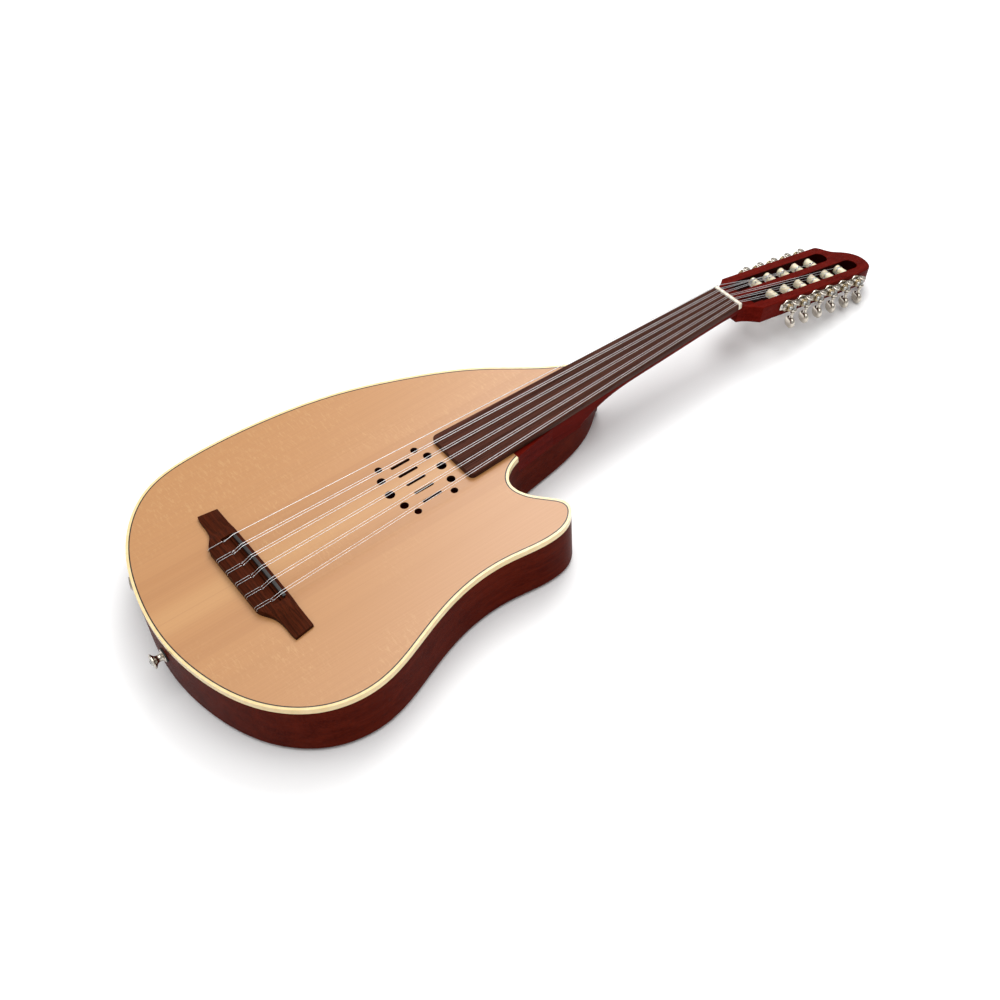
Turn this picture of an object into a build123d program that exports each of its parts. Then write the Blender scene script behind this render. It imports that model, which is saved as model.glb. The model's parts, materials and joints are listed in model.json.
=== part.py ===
"""Short-scale fretless oud: thin chambered body, six courses (eleven strings), slotted headstock.

Frame: origin on the flat back, on the centreline, right under the saddle. +X runs along the neck
towards the head, +Y towards the bass side and +Z out of the soundboard. All sizes are in mm.
"""
import os
from math import atan2, cos, degrees, radians, sin

from build123d import *

os.makedirs("parts", exist_ok=True)

# ---------------------------------------------------------------- driving dimensions
SCALE = 575.0                # saddle to front edge of the nut
BODY_DEPTH = 63.0            # back to soundboard top
BACK_ROUND = 4.0             # rounded edge of the back
WALL = 9.0                   # side wall of the chambers
BACK_THICK = 6.0             # back left under the chambers
TOP_THICK = 3.0              # soundboard
BINDING_WIDE = 2.5
BINDING_HIGH = 6.0
PURFLING_WIDE = 1.2
PURFLING_DEEP = 1.5

BOARD_START_X = 214.7        # body end of the fingerboard
BOARD_HALF_START = 33.75     # its half width there
BOARD_HALF_NUT = 19.4        # and at the nut
BOARD_THICK = 6.2            # over the soundboard; the neck rises under it towards the nut
BOARD_CORNER = 5.5

NECK_START_X = 267.0         # neck block's end in the body
HEEL_END_X = 353.0           # where the neck begins to round off
NECK_BLOCK_DEEP = 22.0       # neck block below the soundboard plane
NECK_RISE = 4.2              # neck's top over the soundboard plane at the nut
NUT_LONG = 4.5
NUT_TOP = 12.15              # above the soundboard plane

HEAD_TILT = 12.0             # degrees back from the neck
HEAD_X = 580.0               # where the head's face starts
HEAD_RISE = 6.0              # head's face above the soundboard plane there
HEAD_HALF = 32.0
HEAD_THICK = 18.5
SLOT_IN = 4.5                # head slots, from the centreline
SLOT_OUT = 21.5
SLOT_START = 30.0            # along the head from HEAD_X
RAMP_START = 3.0
RAMP_DEEP = 9.0
SLOT_END = {"treble": 187.0, "bass": 165.0}

ROLLER_FIRST = 57.2          # first roller, along the head from HEAD_X
ROLLER_PITCH = 22.0
ROLLER_DEEP = 7.5            # roller axis below the head's face
SLEEVE_R = 5.0
SHAFT_R = 3.0
PILOT_R = 2.0
RUNNING = 0.08               # radial clearance of turning shafts
PLATE_THICK = 1.6
SCREW_BACK = 7.5             # plate screws, before every other roller
SCREW_R = 1.1
SCREW_DEEP = 8.0
GEAR_OUT = 5.5               # gear's mid plane and worm axis, out from the head's side
GEAR_TEETH = 15
GEAR_TIP_R = 4.5
WORM_AHEAD = 7.4             # worm axis past the roller axis
WORM_R = 2.55
WORM_SHAFT_R = 1.5
BUTTON_TURN = 78.0           # how each button stands at rest, degrees
COUNT = {"treble": 6, "bass": 5}

STRING_HIGH = 10.7           # middle string's centre over the soundboard at the saddle
SADDLE_CROWN = 0.3           # drop of a course, times its number from the middle squared
COURSE_PITCH = 17.5
COURSE_PITCH_NUT = 7.0
PAIR_HALF = 1.5
PAIR_HALF_NUT = 1.1
STRING_SHIFT = 0.8           # centres eleven strings, as the bass course has only one
STRING_NUT_Z = BODY_DEPTH + 12.1
STRING_R = {6: 0.5, 5: 0.44, 4: 0.4, 3: 0.38, 2: 0.34, 1: 0.32}

ON_FLOOR = (Align.CENTER, Align.CENTER, Align.MIN)
TOP_Z = BODY_DEPTH
LEDGE_Z = BODY_DEPTH - TOP_THICK
BINDING_Z = BODY_DEPTH - BINDING_HIGH
POCKET_Z = BODY_DEPTH - NECK_BLOCK_DEEP


def finish(part, name):
    """Label a finished piece and write it under its node's name."""
    part.label = name
    export_step(part, f"parts/{name}.step")


def board_half(x):
    """Half width of the tapered fingerboard and neck at a place along the neck."""
    share = (x - BOARD_START_X) / (SCALE - BOARD_START_X)
    return BOARD_HALF_START + share * (BOARD_HALF_NUT - BOARD_HALF_START)


def neck_top(x):
    """Height of the neck's flat top, which leans up from the soundboard plane."""
    return TOP_Z + NECK_RISE * (x - NECK_START_X) / (SCALE - NECK_START_X)


# ---------------------------------------------------------------- body outline
BASS_SIDE = [
    (-109, -8), (-103, 48), (-79, 114), (-31, 160), (25, 170.5), (108, 167), (177, 153.5),
    (246, 127), (317, 87), (370, 45), (402, 24),
]
TREBLE_SIDE = [
    (-109, -8), (-101, -69), (-74, -130), (-32, -166), (16, -174.5), (76, -156), (125, -139),
    (183, -134.5), (230, -139.5),
]
HORN_AND_HEEL = [
    (230, -139.5), (256, -132.5), (267.2, -116), (257, -98), (243, -79), (240.3, -62),
    (254, -44.5), (279, -36), (328, -27.5), (377, -10), (403, 9),
]
TIP = (409.0, 16.5)
EVEN = [1, 1]                # end tangents at the curve's own pace
OUTLINE = [                  # points, direction at each end, and the side on which the wood lies
    (BASS_SIDE, (0, 1), (0.8, -0.6), -1),
    (TREBLE_SIDE, (0, -1), (1, 0.03), 1),
    (HORN_AND_HEEL, (1, 0.03), (0.78, 0.62), 1),
]


def parallel(points, start, end, hand, inward):
    """One stretch of the outline, moved into the wood by an even amount."""
    line = Spline(*points, tangents=[start, end], tangent_scalars=EVEN)
    if not inward:
        return line
    steps = 3 * len(points)
    stops = []
    for step in range(steps + 1):
        ahead = line % (step / steps)
        across = Vector(-ahead.Y, ahead.X, 0) * hand
        stops.append(line @ (step / steps) + across * inward)
    return Spline(*stops, tangents=[start, end], tangent_scalars=EVEN)


def plan_face(inward=0.0):
    """The body's plan as one face, moved in from the outline, with its tip under the neck rounded."""
    stretches = [parallel(*stretch, inward) for stretch in OUTLINE]
    tip = ThreePointArc(stretches[0] @ 1, (TIP[0] - inward, TIP[1]), stretches[2] @ 1)
    return make_face(stretches + [tip])


outline = plan_face()
inside_binding = plan_face(BINDING_WIDE)
inside_purfling = plan_face(BINDING_WIDE + PURFLING_WIDE)
chamber_line = plan_face(WALL)

def neck_section(x, half, deep, corner_wide, corner_deep):
    """A closed neck section: flat top, short straight sides and elliptical lower corners."""
    section_plane = Plane(origin=(x, 0, neck_top(x)), x_dir=(0, 1, 0), z_dir=(1, 0, 0))
    with BuildSketch(section_plane, mode=Mode.PRIVATE) as section:
        with BuildLine():
            Line((-half, 0), (half, 0))
            Line((half, 0), (half, -(deep - corner_deep)))
            EllipticalCenterArc(
                (half - corner_wide, -(deep - corner_deep)), corner_wide, corner_deep,
                start_angle=270, arc_size=90,
            )
            Line((half - corner_wide, -deep), (-(half - corner_wide), -deep))
            EllipticalCenterArc(
                (-(half - corner_wide), -(deep - corner_deep)), corner_wide, corner_deep,
                start_angle=180, arc_size=90,
            )
            Line((-half, -(deep - corner_deep)), (-half, 0))
        make_face()
    return section.sketch


NECK_SECTIONS = [            # along, depth, corner width, corner depth
    (HEEL_END_X, NECK_BLOCK_DEEP, 2.5, 2.5),
    (371.0, 17.6, 10.0, 7.5),
    (389.0, 14.0, 17.0, 9.5),
    (409.0, 12.2, 22.0, 10.4),
    (437.0, 11.7, 23.0, 10.6),
    (505.0, 11.5, 20.5, 10.4),
    (556.0, 12.0, 18.6, 10.8),
    (578.0, 16.0, 17.0, 13.0),
]
NECK_PLAN = [                # the neck takes all of the cutaway's side, so that its block shows there
    (NECK_START_X, board_half(NECK_START_X)), (HEEL_END_X, board_half(HEEL_END_X)),
    (HEEL_END_X, -60), (NECK_START_X, -60),
]

with BuildPart() as neck_shaft:
    loft(sections=[neck_section(x, board_half(x), *shape) for x, *shape in NECK_SECTIONS])


def neck_place(bottom, top):
    """The space that the neck takes in the body, between two heights."""
    with BuildPart(mode=Mode.PRIVATE) as place:
        with BuildSketch(Plane.XY.offset(bottom)):
            Polygon(*NECK_PLAN, align=None)
        extrude(amount=top - bottom)
        add(neck_shaft.part)
    return place.part


# ---------------------------------------------------------------- hardware places on the body
CHAMBER_END_X = 235.0
BLOCK_HALF = 60.0            # solid block under the bridge
BLOCK_END_X = 62.0
RIB_IN = 49.0                # ribs each side of the sound-hole bay

PANEL_AT = (311.5, 90.6)     # middle of the preamp panel on the bass side
PANEL_OUT = degrees(atan2(67, 47))
PANEL_WIDE = 58.0
PANEL_HIGH = 36.0
PANEL_THICK = 2.0
PANEL_Z = 31.0
SLIDERS = ["volume", "bass", "middle", "treble"]
SLIDER_PITCH = 12.0
SLIDER_TRAVEL = 20.0

JACK_AT = (-91.0, 88.0, 30.0)
JACK_DIR = Vector(-0.93, 0.37, 0).normalized()
JACK_BORE_R = 3.2
JACK_BORE_LONG = 22.0
JACK_BARREL_R = 5.5

TAIL_BUTTON = (-109.0, -8.0, 34.0)
HEEL_BUTTON = (382.6, 37.0, 20.0)
STRAP_SCREW_R = 1.9
STRAP_SCREW_DEEP = 22.0

COVER_AT = (292.0, 50.0)     # back cover over the battery and preamp
COVER_LONG = 78.0
COVER_WIDE = 50.0
COVER_THICK = 2.5
COVER_SCREW_R = 1.4

panel_plane = Plane(
    origin=(PANEL_AT[0], PANEL_AT[1], PANEL_Z),
    x_dir=(sin(radians(PANEL_OUT)), -cos(radians(PANEL_OUT)), 0),
    z_dir=(cos(radians(PANEL_OUT)), sin(radians(PANEL_OUT)), 0),
)
jack_plane = Plane(origin=JACK_AT, z_dir=JACK_DIR)
tail_plane = Plane(origin=TAIL_BUTTON, z_dir=(-1, 0, 0))
heel_plane = Plane(origin=HEEL_BUTTON, z_dir=Vector(0.53, 0.848, 0))
cover_plane = Plane(origin=(COVER_AT[0], COVER_AT[1], 0), z_dir=(0, 0, -1))
COVER_SCREWS = GridLocations(COVER_LONG - 8, COVER_WIDE - 8, 2, 2)

with BuildPart() as chambered_body:
    with BuildSketch():
        add(outline)
    extrude(amount=BINDING_Z)
    fillet(chambered_body.faces().sort_by(Axis.Z)[0].outer_wire().edges(), BACK_ROUND)
    with BuildSketch(Plane.XY.offset(BINDING_Z)):
        add(inside_binding)
    extrude(amount=LEDGE_Z - BINDING_Z)
    # chambers, with the bridge block and two ribs left standing
    with BuildSketch(Plane.XY.offset(BACK_THICK)):
        add(chamber_line)
        with Locations((CHAMBER_END_X, 0)):
            Rectangle(200, 400, align=(Align.MIN, Align.CENTER), mode=Mode.SUBTRACT)
        with Locations((BLOCK_END_X, 0)):
            Rectangle(200, 2 * BLOCK_HALF, align=(Align.MAX, Align.CENTER), mode=Mode.SUBTRACT)
        with Locations((150, (BLOCK_HALF + RIB_IN) / 2), (150, -(BLOCK_HALF + RIB_IN) / 2)):
            Rectangle(200, BLOCK_HALF - RIB_IN, mode=Mode.SUBTRACT)
    extrude(amount=LEDGE_Z - BACK_THICK, mode=Mode.SUBTRACT)
    add(neck_place(POCKET_Z, TOP_Z), mode=Mode.SUBTRACT)
    # preamp: shallow recess for the panel, then a pocket behind it
    with BuildSketch(panel_plane.offset(-PANEL_THICK)):
        RectangleRounded(PANEL_WIDE, PANEL_HIGH, 3)
    extrude(amount=20, mode=Mode.SUBTRACT)
    with BuildSketch(panel_plane.offset(-PANEL_THICK)):
        RectangleRounded(PANEL_WIDE - 6, PANEL_HIGH - 6, 2)
    extrude(amount=-34, mode=Mode.SUBTRACT)
    # back cover: shallow recess and the battery pocket above it
    with BuildSketch(cover_plane.offset(-COVER_THICK)):
        RectangleRounded(COVER_LONG, COVER_WIDE, 6)
    extrude(amount=COVER_THICK, mode=Mode.SUBTRACT)
    with BuildSketch(cover_plane.offset(-COVER_THICK)):
        RectangleRounded(COVER_LONG - 16, COVER_WIDE - 16, 4)
    extrude(amount=-22, mode=Mode.SUBTRACT)
    with BuildSketch(cover_plane.offset(-COVER_THICK)):
        with COVER_SCREWS:
            Circle(COVER_SCREW_R)
    extrude(amount=-9, mode=Mode.SUBTRACT)
    # wiring hole from the preamp pocket to the sound-hole bay
    with BuildSketch(Plane.YZ.offset(CHAMBER_END_X - 1)):
        with Locations((57, 24)):
            Circle(5)
    extrude(amount=50, mode=Mode.SUBTRACT)
    # jack and strap-button holes
    with BuildSketch(jack_plane.offset(6)):
        Circle(JACK_BARREL_R)
    extrude(amount=-40, mode=Mode.SUBTRACT)
    for plane in (tail_plane, heel_plane):
        with BuildSketch(plane):
            Circle(STRAP_SCREW_R)
        extrude(amount=-STRAP_SCREW_DEEP, mode=Mode.SUBTRACT)
finish(chambered_body.part, "chambered_body")

# ---------------------------------------------------------------- soundboard, binding, purfling, braces
HOLE_X = 173.3               # middle of the sound holes
SLOT_PITCH = 13.7
SOUND_SLOT_LONG = 22.0
SOUND_SLOT_WIDE = 3.4
HOLE_RING = [(30.0, 0.0, 5.0), (27.0, 20.0, 4.3), (20.9, 34.3, 3.7)]

with BuildPart() as soundboard:
    with BuildSketch(Plane.XY.offset(LEDGE_Z)):
        add(inside_purfling)
        with Locations((HOLE_X, 0)):
            with GridLocations(0, SLOT_PITCH, 1, 5):
                SlotOverall(SOUND_SLOT_LONG, SOUND_SLOT_WIDE, mode=Mode.SUBTRACT)
        for ahead, aside, radius in HOLE_RING:
            for x_sign in (1, -1):
                for y_sign in (1, -1) if aside else (1,):
                    with Locations((HOLE_X + x_sign * ahead, y_sign * aside)):
                        Circle(radius, mode=Mode.SUBTRACT)
    extrude(amount=TOP_THICK)
    # the purfling's channel leaves the soundboard a narrow tongue under it
    with BuildSketch(Plane.XY.offset(LEDGE_Z)):
        add(inside_binding)
        add(inside_purfling, mode=Mode.SUBTRACT)
    extrude(amount=TOP_THICK - PURFLING_DEEP)
    add(neck_place(LEDGE_Z - 1, TOP_Z + 1), mode=Mode.SUBTRACT)
finish(soundboard.part, "soundboard")

with BuildPart() as binding:
    with BuildSketch(Plane.XY.offset(BINDING_Z)):
        add(outline)
        add(inside_binding, mode=Mode.SUBTRACT)
    extrude(amount=BINDING_HIGH)
    add(neck_place(BINDING_Z - 1, TOP_Z + 1), mode=Mode.SUBTRACT)
finish(binding.part, "binding")

with BuildPart() as purfling:
    with BuildSketch(Plane.XY.offset(TOP_Z - PURFLING_DEEP)):
        add(inside_binding)
        add(inside_purfling, mode=Mode.SUBTRACT)
    extrude(amount=PURFLING_DEEP)
    add(neck_place(TOP_Z - 3, TOP_Z + 1), mode=Mode.SUBTRACT)
finish(purfling.part, "purfling")

BRACE_DEEP = 11.0
BRACE_WIDE = 8.0
with BuildPart() as soundboard_braces:
    with BuildSketch(Plane.XY.offset(LEDGE_Z - BRACE_DEEP)):
        with Locations((112, 0), (222, 0)):
            Rectangle(BRACE_WIDE, 2 * RIB_IN)
        with Locations((52, 104), (52, -104)):
            Rectangle(BRACE_WIDE, 80)
    extrude(amount=BRACE_DEEP)
finish(soundboard_braces.part, "soundboard_braces")

# ---------------------------------------------------------------- bridge, saddle, pickup
BRIDGE_HALF = 90.0
BRIDGE_FRONT = 5.2
BRIDGE_WING_REAR = -15.0
BRIDGE_REAR = -27.5
BRIDGE_WING_HIGH = 4.0
BRIDGE_MID_HALF = 53.0       # half length of the raised middle
BRIDGE_STEP = 11.0           # length of the slope down to a wing
BRIDGE_CROWN = 0.8           # fall of the middle and of a wing towards its end
BRIDGE_WAIST = 41.0          # half length of the widest stretch
CHANNELS = ((-4.0, 3.0), (0.0, 5.4))   # front and floor of the strings' channel and of the strip ahead of it
TIE_FRONT = -12.5
TIE_HIGH = 7.4
TIE_TOP_Z = TOP_Z + TIE_HIGH
TIE_HOLE_Z = TOP_Z + 4.4
TIE_HOLE_R = 1.0
SADDLE_THICK = 3.0
SADDLE_HALF = 47.0
SADDLE_SLOT_Z = TOP_Z + 2.0
PICKUP_THICK = 1.2


def string_offset(course, side):
    """A string's distance from the centreline at the saddle and at the nut."""
    middle = course - 3.5
    pair = 0 if course == 6 else side
    saddle_y = STRING_SHIFT + COURSE_PITCH * middle + PAIR_HALF * pair
    nut_y = STRING_SHIFT + COURSE_PITCH_NUT * middle + PAIR_HALF_NUT * pair
    return saddle_y, nut_y


def string_height(course):
    """Height of a string's centre at the saddle."""
    return TOP_Z + STRING_HIGH - SADDLE_CROWN * (course - 3.5) ** 2


STRINGS = [(course, side) for course in (1, 2, 3, 4, 5) for side in (-1, 1)] + [(6, 0)]


def bridge_plan():
    """The bridge's plan: straight front, narrow wings and a wider middle for the tie block."""
    with BuildSketch(mode=Mode.PRIVATE) as plan:
        for sign in (1, -1):
            wing_end = (BRIDGE_WING_REAR, sign * (BRIDGE_HALF + 0.5))
            waist = (BRIDGE_REAR, sign * BRIDGE_WAIST)
            with BuildLine():
                Polyline((BRIDGE_FRONT, 0), (BRIDGE_FRONT - 0.6, sign * (BRIDGE_HALF - 2.5)), wing_end)
                Spline(
                    wing_end, (-16.2, sign * 74), (-20.5, sign * 56), waist,
                    tangents=[(-0.3, -sign), (0, -sign)], tangent_scalars=EVEN,
                )
                Polyline(waist, (BRIDGE_REAR, 0), (BRIDGE_FRONT, 0))
            make_face()
    return plan.sketch


with BuildPart() as bridge:
    with BuildSketch(Plane.XY.offset(TOP_Z)):
        add(bridge_plan())
    extrude(amount=TIE_HIGH)
    # the wings step down from the middle in a slope
    with BuildSketch(Plane.YZ.offset(BRIDGE_REAR - 1)):
        for sign in (1, -1):
            with BuildLine():
                Polyline(
                    (0, TIE_TOP_Z + 1), (0, TIE_TOP_Z), (sign * BRIDGE_MID_HALF, TIE_TOP_Z - BRIDGE_CROWN),
                    (sign * (BRIDGE_MID_HALF + BRIDGE_STEP), TOP_Z + BRIDGE_WING_HIGH),
                    (sign * (BRIDGE_HALF + 5), TOP_Z + BRIDGE_WING_HIGH - BRIDGE_CROWN),
                    (sign * (BRIDGE_HALF + 5), TIE_TOP_Z + 1), (0, TIE_TOP_Z + 1),
                )
            make_face()
    extrude(amount=BRIDGE_FRONT - BRIDGE_REAR + 5, mode=Mode.SUBTRACT)
    # string channel between the saddle and the tie block, and a low strip behind the saddle
    for front, high in CHANNELS:
        with BuildSketch(Plane.XY.offset(TOP_Z + high)):
            with Locations(((TIE_FRONT + front) / 2, 0)):
                Rectangle(front - TIE_FRONT, 2 * (BRIDGE_MID_HALF - 4))
        extrude(amount=10, mode=Mode.SUBTRACT)
    with BuildSketch(Plane.XY.offset(SADDLE_SLOT_Z)):
        Rectangle(SADDLE_THICK, 2 * SADDLE_HALF)
    extrude(amount=20, mode=Mode.SUBTRACT)
    with BuildSketch(Plane.YZ.offset(BRIDGE_REAR - 1)):
        for course, side in STRINGS:
            with Locations((string_offset(course, side)[0], TIE_HOLE_Z)):
                Circle(TIE_HOLE_R)
    extrude(amount=TIE_FRONT - BRIDGE_REAR + 2, mode=Mode.SUBTRACT)
finish(bridge.part, "bridge")

with BuildPart() as saddle:
    with BuildSketch(Plane.YZ.offset(-SADDLE_THICK / 2)):
        with BuildLine():
            low = SADDLE_SLOT_Z + PICKUP_THICK
            edge = string_height(1) - STRING_R[1] - 0.55
            middle_top = string_height(4) - STRING_R[4]
            ThreePointArc((-SADDLE_HALF, edge), (0, middle_top), (SADDLE_HALF, edge))
            Polyline((SADDLE_HALF, edge), (SADDLE_HALF, low), (-SADDLE_HALF, low), (-SADDLE_HALF, edge))
        make_face()
    extrude(amount=SADDLE_THICK)
    for course, side in STRINGS:
        notch_z = string_height(course) - STRING_R[course] - 0.06
        with Locations((0, string_offset(course, side)[0], notch_z)):
            Box(SADDLE_THICK + 1, 1.4, 6, align=ON_FLOOR, mode=Mode.SUBTRACT)
finish(saddle.part, "saddle")

with BuildPart() as undersaddle_pickup:
    with BuildSketch(Plane.XY.offset(SADDLE_SLOT_Z)):
        Rectangle(SADDLE_THICK, 2 * SADDLE_HALF)
    extrude(amount=PICKUP_THICK)
finish(undersaddle_pickup.part, "undersaddle_pickup")

# ---------------------------------------------------------------- neck and head
tilt = radians(HEAD_TILT)
HEAD_ALONG = Vector(cos(tilt), 0, -sin(tilt))
HEAD_NORMAL = Vector(sin(tilt), 0, cos(tilt))
HEAD_ORIGIN = Vector(HEAD_X, 0, TOP_Z + HEAD_RISE)
head_plane = Plane(origin=HEAD_ORIGIN, x_dir=HEAD_ALONG, z_dir=HEAD_NORMAL)


def on_head(along, aside, deep):
    """A point given along the head, sideways and below its face."""
    return HEAD_ORIGIN + HEAD_ALONG * along + Vector(0, aside, 0) - HEAD_NORMAL * deep


def side_plane(along, aside, deep, sign):
    """Plane on the head's side: X along the head, Z outwards."""
    return Plane(origin=on_head(along, sign * aside, deep), x_dir=HEAD_ALONG, z_dir=(0, sign, 0))


neck_plane = Plane(
    origin=(NECK_START_X, 0, TOP_Z), x_dir=(SCALE - NECK_START_X, 0, NECK_RISE),
    z_dir=(-NECK_RISE, 0, SCALE - NECK_START_X),
)


ROD_MIDDLE_X = 158.0         # truss rod, from the neck block's end
ROD_LONG = 290.0
ROD_WIDE = 6.0
ROD_DEEP = 7.0
HEAD_SHOULDER = [(-4.0, 19.3), (4.0, 21.6), (12.5, 26.5), (20.0, HEAD_HALF)]
HEAD_END = [
    (166.0, HEAD_HALF), (173.0, 27.0), (178.5, 18.5), (189.0, 11.2), (198.0, 3.8), (203.2, -6.0),
    (202.6, -18.0), (196.5, -27.5), (184.0, -31.2), (170.0, -HEAD_HALF),
]

with BuildPart() as neck:
    # the block: flush with the cutaway's side, and its top leaning up towards the nut
    with BuildSketch(Plane.XY.offset(POCKET_Z)):
        with BuildSketch(mode=Mode.PRIVATE) as cutaway_side:
            add(outline)
            Polygon(*NECK_PLAN, align=None, mode=Mode.INTERSECT)
        Polygon(
            (NECK_START_X, board_half(NECK_START_X)), (HEEL_END_X, board_half(HEEL_END_X)),
            (HEEL_END_X, -board_half(HEEL_END_X)), (NECK_START_X, -board_half(NECK_START_X)), align=None,
        )
        add(cutaway_side.sketch)
    extrude(amount=NECK_BLOCK_DEEP + NECK_RISE)
    with BuildSketch(Plane.XZ.offset(-100)):
        Polygon(
            (NECK_START_X, TOP_Z), (HEEL_END_X, neck_top(HEEL_END_X)),
            (HEEL_END_X, TOP_Z + 10), (NECK_START_X, TOP_Z + 10), align=None,
        )
    extrude(amount=200, mode=Mode.SUBTRACT)
    add(neck_shaft.part)
    with BuildSketch(head_plane):
        with BuildLine():
            Spline(*HEAD_SHOULDER)
            Line(HEAD_SHOULDER[-1], HEAD_END[0])
            Spline(*HEAD_END, tangents=[(1, 0), (-1, -0.05)], tangent_scalars=EVEN)
            Line(HEAD_END[-1], (20.0, -HEAD_HALF))
            Spline(*[(along, -aside) for along, aside in reversed(HEAD_SHOULDER)])
            Line((-4.0, -19.3), (-4.0, 19.3))
        make_face()
    extrude(amount=-HEAD_THICK)
    # nut seat: level with the fingerboard's underside, up to the head's face
    with BuildSketch(Plane.XZ.offset(-40)):
        Polygon(
            (SCALE - 55, neck_top(SCALE - 55)), (SCALE + NUT_LONG, neck_top(SCALE + NUT_LONG)),
            (SCALE + NUT_LONG, TOP_Z + 20), (SCALE - 55, TOP_Z + 20), align=None,
        )
    extrude(amount=80, mode=Mode.SUBTRACT)
    for side, sign in (("treble", -1), ("bass", 1)):
        end = SLOT_END[side]
        with BuildSketch(head_plane):
            with BuildLine():
                Polyline(
                    (end - 8, sign * SLOT_OUT), (SLOT_START, sign * SLOT_OUT),
                    (SLOT_START, sign * SLOT_IN), (end - 8, sign * SLOT_IN),
                )
                ThreePointArc(
                    (end - 8, sign * SLOT_IN), (end, sign * (SLOT_IN + SLOT_OUT) / 2),
                    (end - 8, sign * SLOT_OUT),
                )
            make_face()
        extrude(amount=-HEAD_THICK - 1, mode=Mode.SUBTRACT)
        # ramp that lets the strings down from the nut into the slot
        with BuildSketch(side_plane(0, SLOT_IN, 0, sign)):
            with BuildLine():
                lift = 1 if sign < 0 else -1
                Polyline(
                    (RAMP_START, 0), (SLOT_START + 0.5, 0), (SLOT_START + 0.5, -lift * RAMP_DEEP),
                    (RAMP_START, -lift * 0.1), (RAMP_START, 0),
                )
            make_face()
        extrude(amount=SLOT_OUT - SLOT_IN - 1.5, mode=Mode.SUBTRACT)
        for k in range(COUNT[side]):
            along = ROLLER_FIRST + ROLLER_PITCH * k
            across = side_plane(along, 0, ROLLER_DEEP, sign)
            with BuildSketch(across.offset(SLOT_OUT - 1)):
                Circle(SHAFT_R + RUNNING)
            extrude(amount=HEAD_HALF - SLOT_OUT + 2, mode=Mode.SUBTRACT)
            with BuildSketch(across.offset(2.2)):
                Circle(PILOT_R + RUNNING)
            extrude(amount=SLOT_IN - 2.0, mode=Mode.SUBTRACT)
            if k % 2 == 0:
                with BuildSketch(side_plane(along - SCREW_BACK, HEAD_HALF, ROLLER_DEEP, sign)):
                    Circle(SCREW_R)
                extrude(amount=-SCREW_DEEP, mode=Mode.SUBTRACT)
    # truss rod channel, open under the fingerboard
    with BuildSketch(neck_plane.offset(-ROD_DEEP)):
        with Locations((ROD_MIDDLE_X, 0)):
            Rectangle(ROD_LONG, ROD_WIDE)
    extrude(amount=ROD_DEEP, mode=Mode.SUBTRACT)
    # the head's face has a softened outer edge
    face_edges = neck.edges().filter_by_position(Axis.X, HEAD_X - 10, HEAD_X + 300)
    outer_edges = [
        edge for edge in face_edges
        if all(abs((v.center() - HEAD_ORIGIN).dot(HEAD_NORMAL)) < 0.01 for v in edge.vertices())
        and (max(abs(v.Y) for v in edge.vertices()) > 25 or max(v.X for v in edge.vertices()) > 775)
    ]
    fillet(outer_edges, 1.0)
finish(neck.part, "neck")

with BuildPart() as truss_rod:
    with BuildSketch(neck_plane.offset(-ROD_DEEP)):
        with Locations((ROD_MIDDLE_X, 0)):
            Rectangle(ROD_LONG, ROD_WIDE)
    extrude(amount=ROD_DEEP)
finish(truss_rod.part, "truss_rod")

BOARD_NUT_Z = neck_top(SCALE) + BOARD_THICK
with BuildPart() as fingerboard:
    with BuildSketch(Plane.XY.offset(TOP_Z)) as board_plan:
        Polygon(
            (BOARD_START_X, BOARD_HALF_START), (SCALE, BOARD_HALF_NUT),
            (SCALE, -BOARD_HALF_NUT), (BOARD_START_X, -BOARD_HALF_START), align=None,
        )
        fillet(board_plan.vertices().group_by(Axis.X)[0], BOARD_CORNER)
    extrude(amount=NECK_RISE + BOARD_THICK)
    # side profile: flat on the soundboard, then up the neck's leaning top
    with BuildSketch(Plane.XZ.offset(-50)):
        Polygon(
            (BOARD_START_X, TOP_Z), (NECK_START_X, TOP_Z), (SCALE, neck_top(SCALE)),
            (SCALE, BOARD_NUT_Z), (BOARD_START_X, TOP_Z + BOARD_THICK), align=None,
        )
    extrude(amount=100, mode=Mode.INTERSECT)
    fillet(fingerboard.faces().sort_by(Axis.Z)[-1].edges().group_by(Axis.X)[:-1], 0.8)
finish(fingerboard.part, "fingerboard")

with BuildPart() as nut:
    with BuildSketch(Plane.XY.offset(TOP_Z)):
        Polygon(
            (SCALE, BOARD_HALF_NUT), (SCALE + NUT_LONG, board_half(SCALE + NUT_LONG)),
            (SCALE + NUT_LONG, -board_half(SCALE + NUT_LONG)), (SCALE, -BOARD_HALF_NUT), align=None,
        )
    extrude(amount=NUT_TOP)
    with BuildSketch(Plane.XZ.offset(-50)):
        Polygon(
            (SCALE, neck_top(SCALE)), (SCALE + NUT_LONG, neck_top(SCALE + NUT_LONG)),
            (SCALE + NUT_LONG, TOP_Z + 20), (SCALE, TOP_Z + 20), align=None,
        )
    extrude(amount=100, mode=Mode.INTERSECT)
    fillet(nut.edges().filter_by(Axis.Y).group_by(Axis.Z)[-1], 0.6)
    for course, side in STRINGS:
        radius = STRING_R[course]
        at = (SCALE + NUT_LONG / 2, string_offset(course, side)[1], STRING_NUT_Z - radius - 0.45)
        with Locations(at):
            Box(2 * NUT_LONG, 2 * radius + 0.3, 4, align=ON_FLOOR, mode=Mode.SUBTRACT)
finish(nut.part, "nut")

# ---------------------------------------------------------------- strings
# Outer strings go to the rollers nearest the nut, inner strings to the far ones.
TREBLE_STRINGS = [(1, -1), (1, 1), (2, -1), (2, 1), (3, -1), (3, 1)]
BASS_STRINGS = [(6, 0), (5, 1), (5, -1), (4, 1), (4, -1)]
WIND_OUTER = 17.2            # winding's inner edge on the first roller
WIND_STEP = 1.6


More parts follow.
